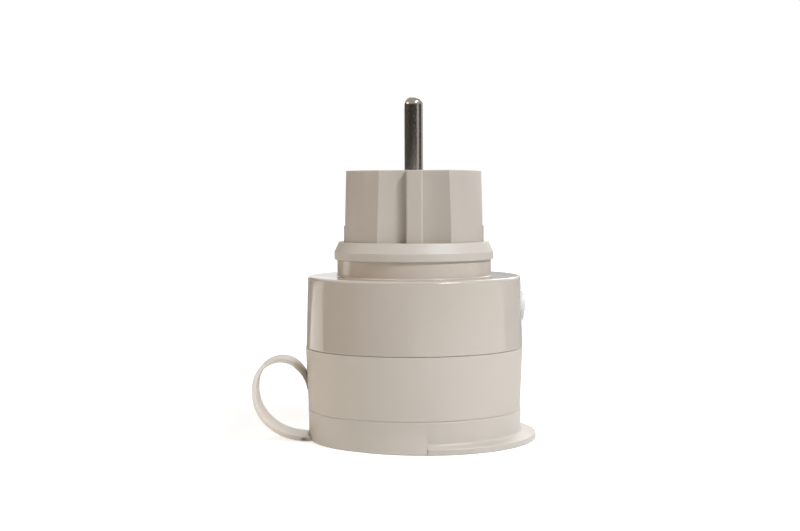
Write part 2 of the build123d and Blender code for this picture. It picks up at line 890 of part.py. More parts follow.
# Shutter disc, its spring and its cover
with BuildPart() as shutter_disc:
    window_angles = (90 - shutter_turn, 270 - shutter_turn)
    window_places = on_circle(pin_y, window_angles)
    disc(shutter_radius, shutter_z, shutter_top_z)
    disc(spring_radius + hub_margin, shutter_top_z, hub_top_z)
    spoke(
        shutter_radius - shutter_thickness,
        stop_tab_reach,
        stop_tab_width,
        shutter_z,
        shutter_top_z,
        90 - shutter_turn / 2,
    )
    disc(shutter_window_radius, shutter_z, shutter_top_z, window_places, Mode.SUBTRACT)
    window_rings = shutter_disc.edges().filter_by(GeomType.CIRCLE)
    window_rings = window_rings.filter_by_position(Axis.Z, shutter_z, shutter_z)
    chamfer(
        window_rings.filter_by(lambda e: abs(e.radius - shutter_window_radius) < slip),
        shutter_ramp,
    )
    disc(pivot_radius + pivot_gap, shutter_z, hub_top_z, mode=Mode.SUBTRACT)
shutter_disc.part.label = "shutter_disc"
export_step(shutter_disc.part, "parts/shutter_disc.step")

with BuildPart() as shutter_spring:
    with BuildLine() as spring_path:
        Helix(
            pitch=spring_pitch,
            height=spring_height,
            radius=spring_radius,
            center=(0, 0, spring_start_z),
        )
    with BuildSketch(Plane(spring_path.line @ 0, z_dir=spring_path.line % 0)):
        Circle(spring_wire)
    sweep(is_frenet=True)
shutter_spring.part.label = "shutter_spring"
export_step(shutter_spring.part, "parts/shutter_spring.step")

with BuildPart() as shutter_cover:
    disc(cover_radius, cover_z, cover_top_z)
    disc(cover_post_radius + cover_ear_wall, cover_z, cover_top_z, cover_post_places)
    disc(socket_hole_radius, cover_z, cover_top_z, pin_places, Mode.SUBTRACT)
    disc(pivot_radius + close_fit, cover_z, cover_top_z, mode=Mode.SUBTRACT)
    disc(
        cover_post_radius + close_fit,
        cover_z,
        cover_top_z,
        cover_post_places,
        Mode.SUBTRACT,
    )
shutter_cover.part.label = "shutter_cover"
export_step(shutter_cover.part, "parts/shutter_cover.step")

# Board across the middle of the housing, with room for everything that passes it
with BuildPart() as main_board:
    through = (board_z, board_top_z)
    disc(board_radius, *through)
    disc(case_boss_radius + slip, *through, case_screw_places, Mode.SUBTRACT)
    disc(contact_radius + close_fit, *through, pin_places, Mode.SUBTRACT)
    disc(relay_leg_radius + close_fit, *through, relay_leg_places, Mode.SUBTRACT)
    disc(board_shank_radius + slip, *through, board_screw_places, Mode.SUBTRACT)
    block(
        strip_thickness + 2 * slip,
        busbar_width + 2 * slip,
        *through,
        busbar_leg_places,
        Mode.SUBTRACT,
    )
    block(
        strip_thickness + 2 * slip,
        link_width + 2 * slip,
        *through,
        [(link_x, 0)],
        Mode.SUBTRACT,
    )
    notch_length = board_radius - board_notch_place
    block(
        notch_length,
        2 * (button_flange_radius + button_flange),
        *through,
        [(board_radius - notch_length / 2, 0)],
        Mode.SUBTRACT,
    )
main_board.part.label = "main_board"
export_step(main_board.part, "parts/main_board.step")

# Relay on top of the board, up inside the hollow plug
with BuildPart() as relay:
    block(relay_length, relay_width, board_top_z, board_top_z + relay_height)
    disc(relay_leg_radius, board_z - leg_out, board_top_z, relay_leg_places)
relay.part.label = "relay"
export_step(relay.part, "parts/relay.step")

# Parts hung under the board, round the socket contacts
with BuildPart() as transformer:
    spoke(
        part_circle - transformer_depth / 2,
        part_circle + transformer_depth / 2,
        transformer_width,
        board_z - transformer_height,
        board_z,
        transformer_angle,
    )
transformer.part.label = "transformer"
export_step(transformer.part, "parts/transformer.step")

with BuildPart() as capacitors:
    capacitor_places = on_circle(part_circle, capacitor_angles)
    disc(capacitor_radius, board_z - capacitor_height, board_z, capacitor_places)
capacitors.part.label = "capacitors"
export_step(capacitors.part, "parts/capacitors.step")

with BuildPart() as choke:
    choke_places = on_circle(part_circle, (choke_angle,))
    disc(choke_radius, board_z - choke_height, board_z, choke_places)
choke.part.label = "choke"
export_step(choke.part, "parts/choke.step")

with BuildPart() as fuse:
    fuse_places = on_circle(part_circle, (fuse_angle,))
    disc(fuse_radius, board_z - fuse_height, board_z, fuse_places)
fuse.part.label = "fuse"
export_step(fuse.part, "parts/fuse.step")

with BuildPart() as radio_module:
    spoke(
        part_circle - radio_depth / 2,
        part_circle + radio_depth / 2,
        radio_width,
        board_z - radio_height,
        board_z,
        radio_angle,
    )
radio_module.part.label = "radio_module"
export_step(radio_module.part, "parts/radio_module.step")

with BuildPart() as status_led:
    spoke(
        led_circle - led_size / 2,
        led_circle + led_size / 2,
        led_size,
        board_z - led_height,
        board_z,
        led_angle,
    )
status_led.part.label = "status_led"
export_step(status_led.part, "parts/status_led.step")

# Switch under the board and the plunger that the power button pushes
with BuildPart() as tact_switch:
    block(
        switch_depth,
        switch_width,
        board_z - switch_height,
        board_z,
        [(switch_face - switch_depth / 2, 0)],
    )
    side_disc(
        plunger_radius + light_ring_gap,
        switch_face - plunger_well,
        switch_face,
        Mode.SUBTRACT,
    )
tact_switch.part.label = "tact_switch"
export_step(tact_switch.part, "parts/tact_switch.step")

with BuildPart() as switch_plunger:
    side_disc(plunger_radius, switch_face - plunger_in, button_back - close_fit)
switch_plunger.part.label = "switch_plunger"
export_step(switch_plunger.part, "parts/switch_plunger.step")

# Power button: flanged round button with a seal in its groove
with BuildPart() as power_button:
    side_disc(button_flange_radius, button_back, button_flange_face)
    side_disc(button_radius, button_flange_face, button_face)
    fillet(power_button.edges().group_by(Axis.X)[-1], button_round)
    with BuildSketch(Plane.YZ.offset(button_seal_place)):
        with Locations((0, button_height)):
            Circle(button_radius)
            Circle(button_radius - button_seal_section / 2, mode=Mode.SUBTRACT)
    extrude(amount=button_seal_section, mode=Mode.SUBTRACT)
power_button.part.label = "power_button"
export_step(power_button.part, "parts/power_button.step")

with BuildPart() as button_seal:
    with BuildSketch(Plane.YZ.offset(button_seal_place)):
        with Locations((0, button_height)):
            Circle(button_radius + button_seal_section / 2)
            Circle(button_radius - button_seal_section / 2, mode=Mode.SUBTRACT)
    extrude(amount=button_seal_section)
button_seal.part.label = "button_seal"
export_step(button_seal.part, "parts/button_seal.step")

# Light ring round the power button
with BuildPart() as light_ring:
    side_disc(light_ring_radius, light_ring_seat, light_ring_face)
    fillet(light_ring.edges().group_by(Axis.X)[-1], light_ring_round)
    side_disc(
        button_radius + light_ring_gap, light_ring_seat, light_ring_face, Mode.SUBTRACT
    )
light_ring.part.label = "light_ring"
export_step(light_ring.part, "parts/light_ring.step")

# Screws, all driven from the socket side
with BuildPart() as case_screws:
    screws(
        case_screw_places,
        case_seat_z,
        case_head_radius,
        case_head_height,
        case_shank_radius,
        case_shank_length,
    )
case_screws.part.label = "case_screws"
export_step(case_screws.part, "parts/case_screws.step")

with BuildPart() as insert_screws:
    screws(
        insert_screw_places,
        flange_z,
        insert_head_radius,
        insert_head_height,
        insert_shank_radius,
        insert_shank_length,
    )
insert_screws.part.label = "insert_screws"
export_step(insert_screws.part, "parts/insert_screws.step")

with BuildPart() as board_screws:
    screws(
        board_screw_places,
        board_z,
        board_head_radius,
        board_head_height,
        board_shank_radius,
        board_shank_length,
    )
board_screws.part.label = "board_screws"
export_step(board_screws.part, "parts/board_screws.step")


def grip_sector():
    """Raise the half of the cap's rim that faces the finger tab by a hair."""
    start = math.radians(-grip_half_angle)
    along = (math.cos(start), math.sin(start), 0)
    across = (math.sin(start), -math.cos(start), 0)
    with BuildSketch(Plane((0, 0, 0), x_dir=along, z_dir=across)) as outline:
        with BuildLine():
            Polyline(
                (base_radius - cap_wall, tab_thickness),
                (cap_foot_radius + grip_proud, tab_thickness),
                (base_radius + grip_proud, cap_height - grip_drop),
                (base_radius - cap_wall, cap_height - grip_drop),
                close=True,
            )
        make_face()
    revolve(outline.sketch, axis=Axis.Z, revolution_arc=2 * grip_half_angle)


# Socket cap: round cup with a finger tab, a gripping half and a spigot with its seal
seal_outline = (
    (seal_bore, seal_z),
    (spigot_radius, seal_z),
    (spigot_radius, seal_top_z),
    (seal_bore, seal_top_z),
)

with BuildPart() as socket_cap:
    disc(tab_radius, 0, tab_thickness, [(tab_shift, 0)])
    fillet(socket_cap.edges().filter_by(GeomType.CIRCLE), tab_round)
    turned(
        (0, 0),
        (cap_foot_radius - foot_chamfer, 0),
        (cap_foot_radius, foot_chamfer),
        (base_radius, cap_height),
        (base_radius - cap_wall, cap_height),
        (base_radius - cap_wall, cap_floor),
        (cap_land_radius, cap_floor),
        (cap_land_radius, cap_height),
        (spigot_radius, cap_height),
        (spigot_radius, spigot_top_z),
        (spigot_bore, spigot_top_z),
        (spigot_bore, cap_floor),
        (0, cap_floor),
    )
    grip_sector()
    turned(*seal_outline, mode=Mode.SUBTRACT)
socket_cap.part.label = "socket_cap"
export_step(socket_cap.part, "parts/socket_cap.step")

with BuildPart() as cap_seal:
    turned(*seal_outline)
cap_seal.part.label = "cap_seal"
export_step(cap_seal.part, "parts/cap_seal.step")

# Lug at the cap's edge, where the strap starts
with BuildPart() as strap_lug:
    lug_inner_x = -(base_radius - shell_wall)
    block(
        lug_inner_x - lug_end_x,
        strap_width,
        strap_lift,
        strap_lift + strap_thickness,
        [((lug_inner_x + lug_end_x) / 2, strap_middle_y)],
    )
    disc(
        base_radius + lug_gap,
        strap_lift,
        strap_lift + strap_thickness,
        mode=Mode.SUBTRACT,
    )
strap_lug.part.label = "strap_lug"
export_step(strap_lug.part, "parts/strap_lug.step")

# Tether strap: flat band that rises from the lug and turns down into the lower shell
with BuildPart() as strap:
    with BuildSketch(Plane.XZ.offset(-strap_middle_y)):
        with BuildLine():
            CenterArc((lug_end_x, low_bend_z), low_bend_radius, 180, 90)
            CenterArc((side_bend_x, low_bend_z), side_bend_radius, 90, 90)
            CenterArc((side_bend_x, top_bend_z), top_bend_radius, 0, 90)
            Line((tail_x, top_bend_z), (tail_x, tail_turn_z))
            CenterArc((tail_turn_x, tail_turn_z), tail_bend_radius, 180, 90)
            Line((tail_turn_x, tail_z), (-anchor_place, tail_z))
        trace(line_width=strap_thickness)
    extrude(amount=strap_width / 2, both=True)
strap.part.label = "strap"
export_step(strap.part, "parts/strap.step")

# Bar inside the lower shell that holds the strap's end
with BuildPart() as strap_anchor:
    block(
        anchor_thickness,
        anchor_width,
        tail_z - anchor_height / 2,
        tail_z + anchor_height / 2,
        [(-anchor_place + anchor_thickness / 2, strap_middle_y)],
    )
strap_anchor.part.label = "strap_anchor"
export_step(strap_anchor.part, "parts/strap_anchor.step")
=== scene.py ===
"""Outdoor smart plug that stands on its closed socket cap, with its plug pins pointing up."""
import math

import bmesh
import bpy
from mathutils import Matrix, Vector
from mathutils.bvhtree import BVHTree


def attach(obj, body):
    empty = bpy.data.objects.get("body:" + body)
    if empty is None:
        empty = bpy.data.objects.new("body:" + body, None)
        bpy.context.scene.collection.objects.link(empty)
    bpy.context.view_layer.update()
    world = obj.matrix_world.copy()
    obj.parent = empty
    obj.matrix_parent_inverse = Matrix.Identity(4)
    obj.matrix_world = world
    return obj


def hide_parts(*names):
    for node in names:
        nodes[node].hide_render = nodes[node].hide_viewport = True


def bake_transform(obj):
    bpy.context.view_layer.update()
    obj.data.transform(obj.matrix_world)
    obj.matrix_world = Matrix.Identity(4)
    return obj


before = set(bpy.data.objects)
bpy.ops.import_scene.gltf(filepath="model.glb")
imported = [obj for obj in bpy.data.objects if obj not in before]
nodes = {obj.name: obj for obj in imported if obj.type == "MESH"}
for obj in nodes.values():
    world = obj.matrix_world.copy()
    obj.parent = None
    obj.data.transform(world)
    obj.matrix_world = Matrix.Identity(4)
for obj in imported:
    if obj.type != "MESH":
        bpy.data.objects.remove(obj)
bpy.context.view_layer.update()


# Plug pins: two pins turned from brass bar, domed at the tip and plated with nickel.
# Each is pressed into a boss of the plug body, and its tail is riveted to a busbar.
mm = 0.001
pin_radius = 2.4
pin_neck_radius = 2.2
pin_shank_radius = 2.0
pin_tail_radius = 1.5
rivet_radius = 2.1
pin_place = 9.5
pin_dome = 2.1
pin_tip = 90.18
plug_face = 71.18
plug_roof = 68.18
shank_end = 59.18
rivet_top = 58.38
rivet_end = 57.58
touching = 0.001
crease = math.radians(35)


def rounded(corners, steps=6, hold=0.15):
    """Outline in millimetres whose corners (across, up, radius) are rounded."""
    points = []
    for i, (x, y, radius) in enumerate(corners):
        corner = Vector((x, y))
        if not radius:
            points.append(corner)
            continue
        back = (Vector(corners[i - 1][:2]) - corner).normalized()
        ahead = (Vector(corners[(i + 1) % len(corners)][:2]) - corner).normalized()
        half = back.angle(ahead) / 2
        reach = radius / math.tan(half)
        centre = corner + (back + ahead).normalized() * radius / math.sin(half)
        start = corner + back * reach - centre
        sweep = math.copysign(math.pi - 2 * half, -back.cross(ahead))
        points.append(corner + back * (reach + hold))
        for k in range(steps + 1):
            points.append(centre + Matrix.Rotation(sweep * k / steps, 2) @ start)
        points.append(corner + ahead * (reach + hold))
    return points


def upright(point, angle):
    """Place of a profile point that turns round the Z axis."""
    return Vector((point[0] * math.cos(angle), point[0] * math.sin(angle), point[1]))


def even(count):
    """Evenly spaced angles all round."""
    return [math.tau * k / count for k in range(count)]


def turn(profile, angles, shape=upright):
    """Turn a closed profile, or one that depends on the angle, into a skin."""
    skin = bmesh.new()
    rings = []
    for angle in angles:
        points = profile(angle) if callable(profile) else profile
        rings.append([skin.verts.new(shape(point, angle)) for point in points])
    for ring, after in zip(rings, rings[1:] + rings[:1]):
        for k in range(len(ring)):
            corners = (ring[k - 1], after[k - 1], after[k], ring[k])
            start = (corners[0].co - corners[1].co).length
            end = (corners[2].co - corners[3].co).length
            if start + end > touching:
                skin.faces.new(corners)
    bmesh.ops.remove_doubles(skin, verts=skin.verts, dist=touching)
    bmesh.ops.recalc_face_normals(skin, faces=skin.faces)
    return skin


def made(name, skin, finish):
    """Make an object of a skin in millimetres, with its faces outwards and its shading smooth."""
    bmesh.ops.remove_doubles(skin, verts=skin.verts, dist=touching)
    bmesh.ops.recalc_face_normals(skin, faces=skin.faces)
    bmesh.ops.scale(skin, vec=(mm, mm, mm), verts=skin.verts)
    mesh = bpy.data.meshes.new(name)
    skin.to_mesh(mesh)
    skin.free()
    mesh.shade_smooth()
    mesh.set_sharp_from_angle(angle=crease)
    mesh.materials.append(finish)
    piece = bpy.data.objects.new(name, mesh)
    bpy.context.scene.collection.objects.link(piece)
    return piece


def tone(*parts):
    """Colour as it looks on a screen, 0 to 255, in the linear values that sockets take."""
    return [((part / 255 + 0.055) / 1.055) ** 2.4 for part in parts] + [1.0]


def add(tree, kind, values=None, **settings):
    """Add a node, set its settings, and give each input a plain value or a link."""
    new = tree.nodes.new(kind)
    for key, value in settings.items():
        setattr(new, key, value)
    for key, value in (values or {}).items():
        if isinstance(value, bpy.types.NodeSocket):
            tree.links.new(value, new.inputs[key])
        else:
            new.inputs[key].default_value = value
    return new


def group(name, inputs, outputs):
    """Start a shader node group with named inputs (with their first values) and outputs."""
    tree = bpy.data.node_groups.new(name, "ShaderNodeTree")
    tree.interface.new_socket("Vector", in_out="INPUT", socket_type="NodeSocketVector")
    for label, value in inputs.items():
        socket = tree.interface.new_socket(label, in_out="INPUT", socket_type="NodeSocketFloat")
        socket.default_value = value
    for label in outputs:
        tree.interface.new_socket(label, in_out="OUTPUT", socket_type="NodeSocketFloat")
    return tree, tree.nodes.new("NodeGroupInput"), tree.nodes.new("NodeGroupOutput")


def millimetres(tree, source, stretch=(1, 1, 1)):
    """Turn an Object coordinate in metres into millimetres, stretched along its axes."""
    scale = [part / mm for part in stretch]
    values = {0: source, 1: scale}
    return add(tree, "ShaderNodeVectorMath", values, operation="MULTIPLY").outputs[0]


def maths(tree, operation, first, second):
    """Result of one operation on two values or sockets."""
    return add(tree, "ShaderNodeMath", {0: first, 1: second}, operation=operation).outputs[0]


def noise(tree, vector, size, detail=3.0, roughness=0.5):
    """Noise whose size, a value or a socket, is in millimetres."""
    scale = maths(tree, "DIVIDE", 1.0, size)
    values = {"Vector": vector, "Scale": scale, "Detail": detail, "Roughness": roughness}
    return add(tree, "ShaderNodeTexNoise", values).outputs["Fac"]


# Shared by all metal: fine scratches that run along the piece, and soft patches of tarnish
drawn, entry, exits = group(
    "drawn_metal", {"Grain Size": 0.1, "Patch Size": 3.0}, ["Grain", "Patch"]
)
along = millimetres(drawn, entry.outputs["Vector"], (1, 1, 0.35))
drawn.links.new(noise(drawn, along, entry.outputs["Grain Size"], 4.0), exits.inputs["Grain"])
drawn.links.new(noise(drawn, along, entry.outputs["Patch Size"]), exits.inputs["Patch"])


def blank(name):
    """Start a material, and return its tree, its shader and its Object coordinate."""
    finish = bpy.data.materials.new(name)
    finish.use_nodes = True
    tree = finish.node_tree
    place = add(tree, "ShaderNodeTexCoord").outputs["Object"]
    return finish, tree, tree.nodes["Principled BSDF"], place


def between(tree, mask, low, high):
    """Value that a mask moves from low to high."""
    values = {"Value": mask, "From Min": 0.3, "From Max": 0.7, "To Min": low, "To Max": high}
    return add(tree, "ShaderNodeMapRange", values).outputs["Result"]


def tinted(tree, mask, dark, light):
    """Colour that a mask moves from dark to light."""
    values = {0: mask, 6: dark, 7: light}
    return add(tree, "ShaderNodeMix", values, data_type="RGBA").outputs[2]


def metal(name, dark, light, smooth, rough, grain_size, grain_depth, patch_size=3.0):
    """Metal with fine grain, patches of tarnish and uneven polish."""
    finish, tree, shader, place = blank(name)
    values = {"Vector": place, "Grain Size": grain_size, "Patch Size": patch_size}
    fine = add(tree, "ShaderNodeGroup", values, node_tree=drawn)
    shader.inputs["Metallic"].default_value = 1.0
    colour = tinted(tree, fine.outputs["Patch"], tone(*dark), tone(*light))
    tree.links.new(colour, shader.inputs["Base Color"])
    polish = between(tree, fine.outputs["Grain"], smooth, rough)
    tree.links.new(polish, shader.inputs["Roughness"])
    values = {"Strength": 1.0, "Distance": grain_depth * mm, "Height": fine.outputs["Grain"]}
    tree.links.new(add(tree, "ShaderNodeBump", values).outputs["Normal"], shader.inputs["Normal"])
    return finish


pin_nickel = metal("pin_nickel", (138, 129, 121), (156, 148, 141), 0.13, 0.24, 0.22, 0.0022)
pin_profile = rounded(
    [
        (0, rivet_end, 0),
        (rivet_radius, rivet_end, 0.2),
        (rivet_radius, rivet_top, 0),
        (pin_tail_radius, rivet_top, 0),
        (pin_tail_radius, shank_end, 0),
        (pin_shank_radius, shank_end, 0),
        (pin_shank_radius, plug_roof, 0),
        (pin_neck_radius, plug_roof, 0),
        (pin_neck_radius, plug_face, 0),
        (pin_radius, plug_face, 0),
        (pin_radius, pin_tip, pin_dome),
        (0, pin_tip, 0),
    ],
    steps=16,
)


def pin(name, y):
    """One pin on the plug's middle line."""
    skin = turn(pin_profile, even(64), lambda p, a: upright(p, a) + Vector((0, y, 0)))
    return made(name, skin, pin_nickel)


live = pin("plug_pin_live", pin_place)
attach(live, "housing")
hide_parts("live_pin")

neutral = pin("plug_pin_neutral", -pin_place)
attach(neutral, "housing")
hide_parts("neutral_pin")


# Plug body: one hollow moulding in warm grey plastic, with a recess and a rib below each pin,
# a groove for an earth clip at each side, and a flange that is screwed under the shoulder.
plug_face_radius = 18.2
plug_foot_radius = 18.55
plug_foot = 52.42
plug_edge = 0.3
recess_half = 9.0
recess_flat = 2.6
recess_floor = 15.0
rib_half = 2.05
rib_reach = 17.1
corner = 0.36
inner_corner = 0.12
groove_half = 3.2
groove_floor = 16.0
groove_end = 56.68
flange_radius = 21.4
flange_top = 41.37
flange_bottom = 39.77
cavity_radius = 16.2
cavity_top = 50.42
cavity_half = 13.0
pad_face = 14.0
pad_half = 4.5
earth_hole_place = -10.0
earth_hole_radius = 2.75
sleeve_seat_radius = 3.12
sleeve_top = 70.18
hole_chamfer = 0.2
edge_steps = 5
face_steps = 26
bend_steps = 10
halvings = 40

recess_rise = math.sqrt(plug_face_radius ** 2 - recess_half ** 2) - recess_floor
recess_bend = ((recess_half - recess_flat) ** 2 + recess_rise ** 2) / (2 * recess_rise)
recess_sweep = math.asin((recess_half - recess_flat) / recess_bend)


def plug_outline(radius, inset, grooved=True):
    """Outline of the plug body at one height, drawn in by the inset."""
    edge = radius - inset
    floor = recess_floor - inset
    bend = recess_bend + inset
    slot = groove_half + inset
    across = math.sqrt(edge ** 2 - slot ** 2)
    depth = groove_floor - inset if grooved else across - 0.01

    def bent(angle):
        return recess_flat + bend * math.sin(angle), floor + bend * (1 - math.cos(angle))

    low, high = 0.0, 2 * recess_sweep
    for _ in range(halvings):
        middle = (low + high) / 2
        x, y = bent(middle)
        low, high = (middle, high) if math.hypot(x, y) < edge else (low, middle)
    start, end = math.atan2(slot, across), math.atan2(y, x)
    quarter = [
        (depth, 0, 0),
        (depth, slot, inner_corner + inset),
        (across, slot, corner - inset),
    ]
    for k in range(1, face_steps):
        angle = start + (end - start) * k / face_steps
        quarter.append((edge * math.cos(angle), edge * math.sin(angle), 0))
    quarter.append((x, y, corner - inset))
    for k in range(1, bend_steps + 1):
        quarter.append((*bent(middle * (1 - k / bend_steps)), 0))
    quarter.append((rib_half - inset, floor, inner_corner + inset))
    quarter.append((rib_half - inset, rib_reach - inset, corner - inset))
    quarter.append((0, rib_reach - inset, 0))
    half = quarter + [(-x, y, r) for x, y, r in reversed(quarter[:-1])]
    return rounded(half + [(x, -y, r) for x, y, r in reversed(half[1:-1])], steps=4, hold=0.06)


def plug_bore(outline, square):
    """Outline of the hollow, on the same angles as an outer outline."""
    points = []
    for point in outline:
        way = Vector(point).normalized()
        reach = cavity_radius
        if square:
            reach = min(reach, cavity_half / max(abs(way.y), 0.01))
            side = pad_face / max(abs(way.x), 0.01)
            if abs(way.y) * side < pad_half:
                reach = min(reach, side)
        points.append(way * reach)
    return points


def plug_skin():
    """Skin of the plug body, stacked from outlines, with the hole of the earth sleeve."""
    skin = bmesh.new()
    foot = plug_outline(plug_foot_radius, 0)
    plain = plug_outline(plug_foot_radius, 0, False)
    full = [Vector(point).normalized() * plug_foot_radius for point in foot]
    levels = []
    for k in range(edge_steps + 1):
        bend = math.pi / 2 * k / edge_steps
        inset = plug_edge * (1 - math.sin(bend))
        height = plug_face - plug_edge * (1 - math.cos(bend))
        levels.append((plug_outline(plug_face_radius, inset), height))
    levels.append((plug_outline(plug_face_radius, 0), plug_face - 2 * plug_edge))
    levels += [(foot, groove_end), (plain, groove_end), (plain, plug_foot)]
    levels += [(full, plug_foot), (full, flange_top)]
    wide = [point.normalized() * flange_radius for point in full]
    levels += [(wide, flange_top), (wide, flange_bottom)]
    levels += [(plug_bore(foot, False), flange_bottom), (plug_bore(foot, False), cavity_top)]
    levels += [(plug_bore(foot, True), cavity_top), (plug_bore(foot, True), plug_roof)]
    rings = []
    for outline, height in levels:
        rings.append([skin.verts.new((x, y, height)) for x, y in outline])
    for ring, after in zip(rings, rings[1:]):
        for k in range(len(ring)):
            skin.faces.new((ring[k - 1], after[k - 1], after[k], ring[k]))
    bores = []
    middle = Vector((earth_hole_place, 0, 0))
    steps = (
        (earth_hole_radius + hole_chamfer, plug_face),
        (earth_hole_radius, plug_face - hole_chamfer),
        (earth_hole_radius, sleeve_top),
        (sleeve_seat_radius, sleeve_top),
        (sleeve_seat_radius, plug_roof),
    )
    for radius, height in steps:
        places = [upright((radius, height), angle) + middle for angle in even(48)]
        bores.append([skin.verts.new(place) for place in places])
    for ring, after in zip(bores, bores[1:]):
        for k in range(len(ring)):
            skin.faces.new((ring[k - 1], ring[k], after[k], after[k - 1]))
    for outer, hole in ((rings[0], bores[0]), (rings[-1], bores[-1])):
        edges = []
        for ring in (outer, hole):
            for k in range(len(ring)):
                known = skin.edges.get((ring[k - 1], ring[k]))
                edges.append(known or skin.edges.new((ring[k - 1], ring[k])))
        bmesh.ops.triangle_fill(skin, edges=edges, use_beauty=True)
    return skin


# Shared by all mouldings: the mould's fine grain, and the slow flow of the plastic
flow_size = 14.0
moulded_surface, entry, exits = group(
    "moulded_surface", {"Grain Size": 0.1, "Flow Size": flow_size}, ["Grain", "Flow"]
)
place = millimetres(moulded_surface, entry.outputs["Vector"])
grain = noise(moulded_surface, place, entry.outputs["Grain Size"], 3.0, 0.6)
flow = noise(moulded_surface, place, entry.outputs["Flow Size"], 4.0, 0.45)
moulded_surface.links.new(grain, exits.inputs["Grain"])
moulded_surface.links.new(flow, exits.inputs["Flow"])

# Shared by all hard pieces: a mask of the edges that hands rub, broken up by noise
edge_wear, entry, exits = group(
    "edge_wear", {"Edge Width": 0.4, "Break Size": 1.5}, ["Wear"]
)
width = maths(edge_wear, "MULTIPLY", entry.outputs["Edge Width"], mm)
soft = add(edge_wear, "ShaderNodeBevel", {"Radius": width}, samples=4)
true = add(edge_wear, "ShaderNodeNewGeometry")
values = {0: soft.outputs["Normal"], 1: true.outputs["Normal"]}
facing = add(edge_wear, "ShaderNodeVectorMath", values, operation="DOT_PRODUCT").outputs["Value"]
values = {"Value": facing, "From Min": 1.0, "From Max": 0.86, "To Min": 0.0, "To Max": 1.0}
edge = add(edge_wear, "ShaderNodeMapRange", values).outputs["Result"]
place = millimetres(edge_wear, entry.outputs["Vector"])
broken = between(edge_wear, noise(edge_wear, place, entry.outputs["Break Size"]), 0.2, 1.0)
edge_wear.links.new(maths(edge_wear, "MULTIPLY", edge, broken), exits.inputs["Wear"])


def moulded(name, colour, smooth, rough, grain_size, grain_depth, flow_tint=6, wear=5):
    """Moulded plastic or rubber: grain, slow changes of tint and gloss, and rubbed edges."""
    finish, tree, shader, place = blank(name)
    values = {"Vector": place, "Grain Size": grain_size, "Flow Size": flow_size}
    skin = add(tree, "ShaderNodeGroup", values, node_tree=moulded_surface)
    dark = tone(*[part - flow_tint / 2 for part in colour])
    light = tone(*[part + flow_tint / 2 for part in colour])
    base = tinted(tree, skin.outputs["Flow"], dark, light)
    if wear:
        rubbed = add(tree, "ShaderNodeGroup", {"Vector": place}, node_tree=edge_wear)
        pale = tone(*[min(part + wear, 250) for part in colour])
        base = tinted(tree, rubbed.outputs["Wear"], base, pale)
    tree.links.new(base, shader.inputs["Base Color"])
    tree.links.new(between(tree, skin.outputs["Flow"], smooth, rough), shader.inputs["Roughness"])
    values = {"Strength": 1.0, "Distance": grain_depth * mm, "Height": skin.outputs["Grain"]}
    tree.links.new(add(tree, "ShaderNodeBump", values).outputs["Normal"], shader.inputs["Normal"])
    return finish


plug_plastic = moulded("plug_plastic", (189, 179, 168), 0.32, 0.4, 0.12, 0.004)
plug_body = made("plug_body", plug_skin(), plug_plastic)
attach(plug_body, "housing")
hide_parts("plug_insert")


# Earth path of the plug: spring clips bent from steel strip at the sides, a drawn sleeve for
# an earth pin, and the bridge and link that join them to the socket's own earth strip.
clip_steel = metal("clip_steel", (168, 166, 162), (190, 188, 184), 0.22, 0.34, 0.1, 0.003)


def dress(names, finish):
    """Give CAD nodes a finish."""
    for name in names:
        for held in nodes[name].material_slots:
            held.material = finish


dress(
    (
        "earth_bridge",
        "earth_sleeve",
        "earth_clip_right",
        "earth_clip_left",
        "earth_link",
        "socket_earth_stirrup",
    ),
    clip_steel,
)


# Upper shell: glossy moulded cup with a flat shoulder and a neck, polished in the mould.
# The neck carries the collar, and a stepped hole at the side takes the power button.
shell_wall = 2.0
waist_radius = 28.93
shoulder_radius = 28.4
waist = 24.57
shoulder = 43.37
shoulder_round = 0.8
shell_edge = 0.14
neck_radius = 20.6
neck_bore = 18.65
neck_top = 47.62
spigot_radius = 19.33
spigot_top = 50.92
neck_root = 0.2
button_height = 35.35
ring_hole_radius = 4.25
ring_seat = 27.296
button_hole_radius = 2.6
shell_row = 0.75
facing_share = 0.3


def rows(outline, step):
    """Divide the long sides of an outline, where a hole will be cut."""
    points = []
    for here, there in zip(outline, outline[1:] + outline[:1]):
        count = max(1, round((there - here).length / step))
        points += [here.lerp(there, k / count) for k in range(count)]
    return points


def border_of(skin, faces):
    """Edges round a patch of faces, in a steady order."""
    patch = set(faces)
    return [edge for edge in skin.edges if sum(face in patch for face in edge.link_faces) == 1]


def ends_of(edges):
    """Vertices of some edges, each once and in a steady order."""
    return list(dict.fromkeys(vert for edge in edges for vert in edge.verts))


def drill(skin, centre, axis, radius, margin=0.9, reach=2.5):
    """Open a round hole in the side of a skin that faces along the axis. Returns its edges."""
    centre, axis = Vector(centre), Vector(axis)
    surface = BVHTree.FromBMesh(skin)
    cut = []
    for face in skin.faces:
        offset = face.calc_center_median() - centre
        along = offset.dot(axis)
        near = (offset - along * axis).length < radius + margin
        if near and abs(along) < reach and face.normal.dot(axis) > facing_share:
            cut.append(face)
    border = border_of(skin, cut)
    bmesh.ops.delete(skin, geom=cut, context="FACES")
    rim = {}
    for vert in ends_of(border):
        offset = vert.co - centre
        across = (offset - offset.dot(axis) * axis).normalized()
        start = centre + across * radius + axis * 2 * reach
        rim[vert] = skin.verts.new(surface.ray_cast(start, -axis)[0])
    for edge in border:
        a, b = edge.verts
        skin.faces.new((a, b, rim[b], rim[a]))
    return [skin.edges.get((rim[edge.verts[0]], rim[edge.verts[1]])) for edge in border]


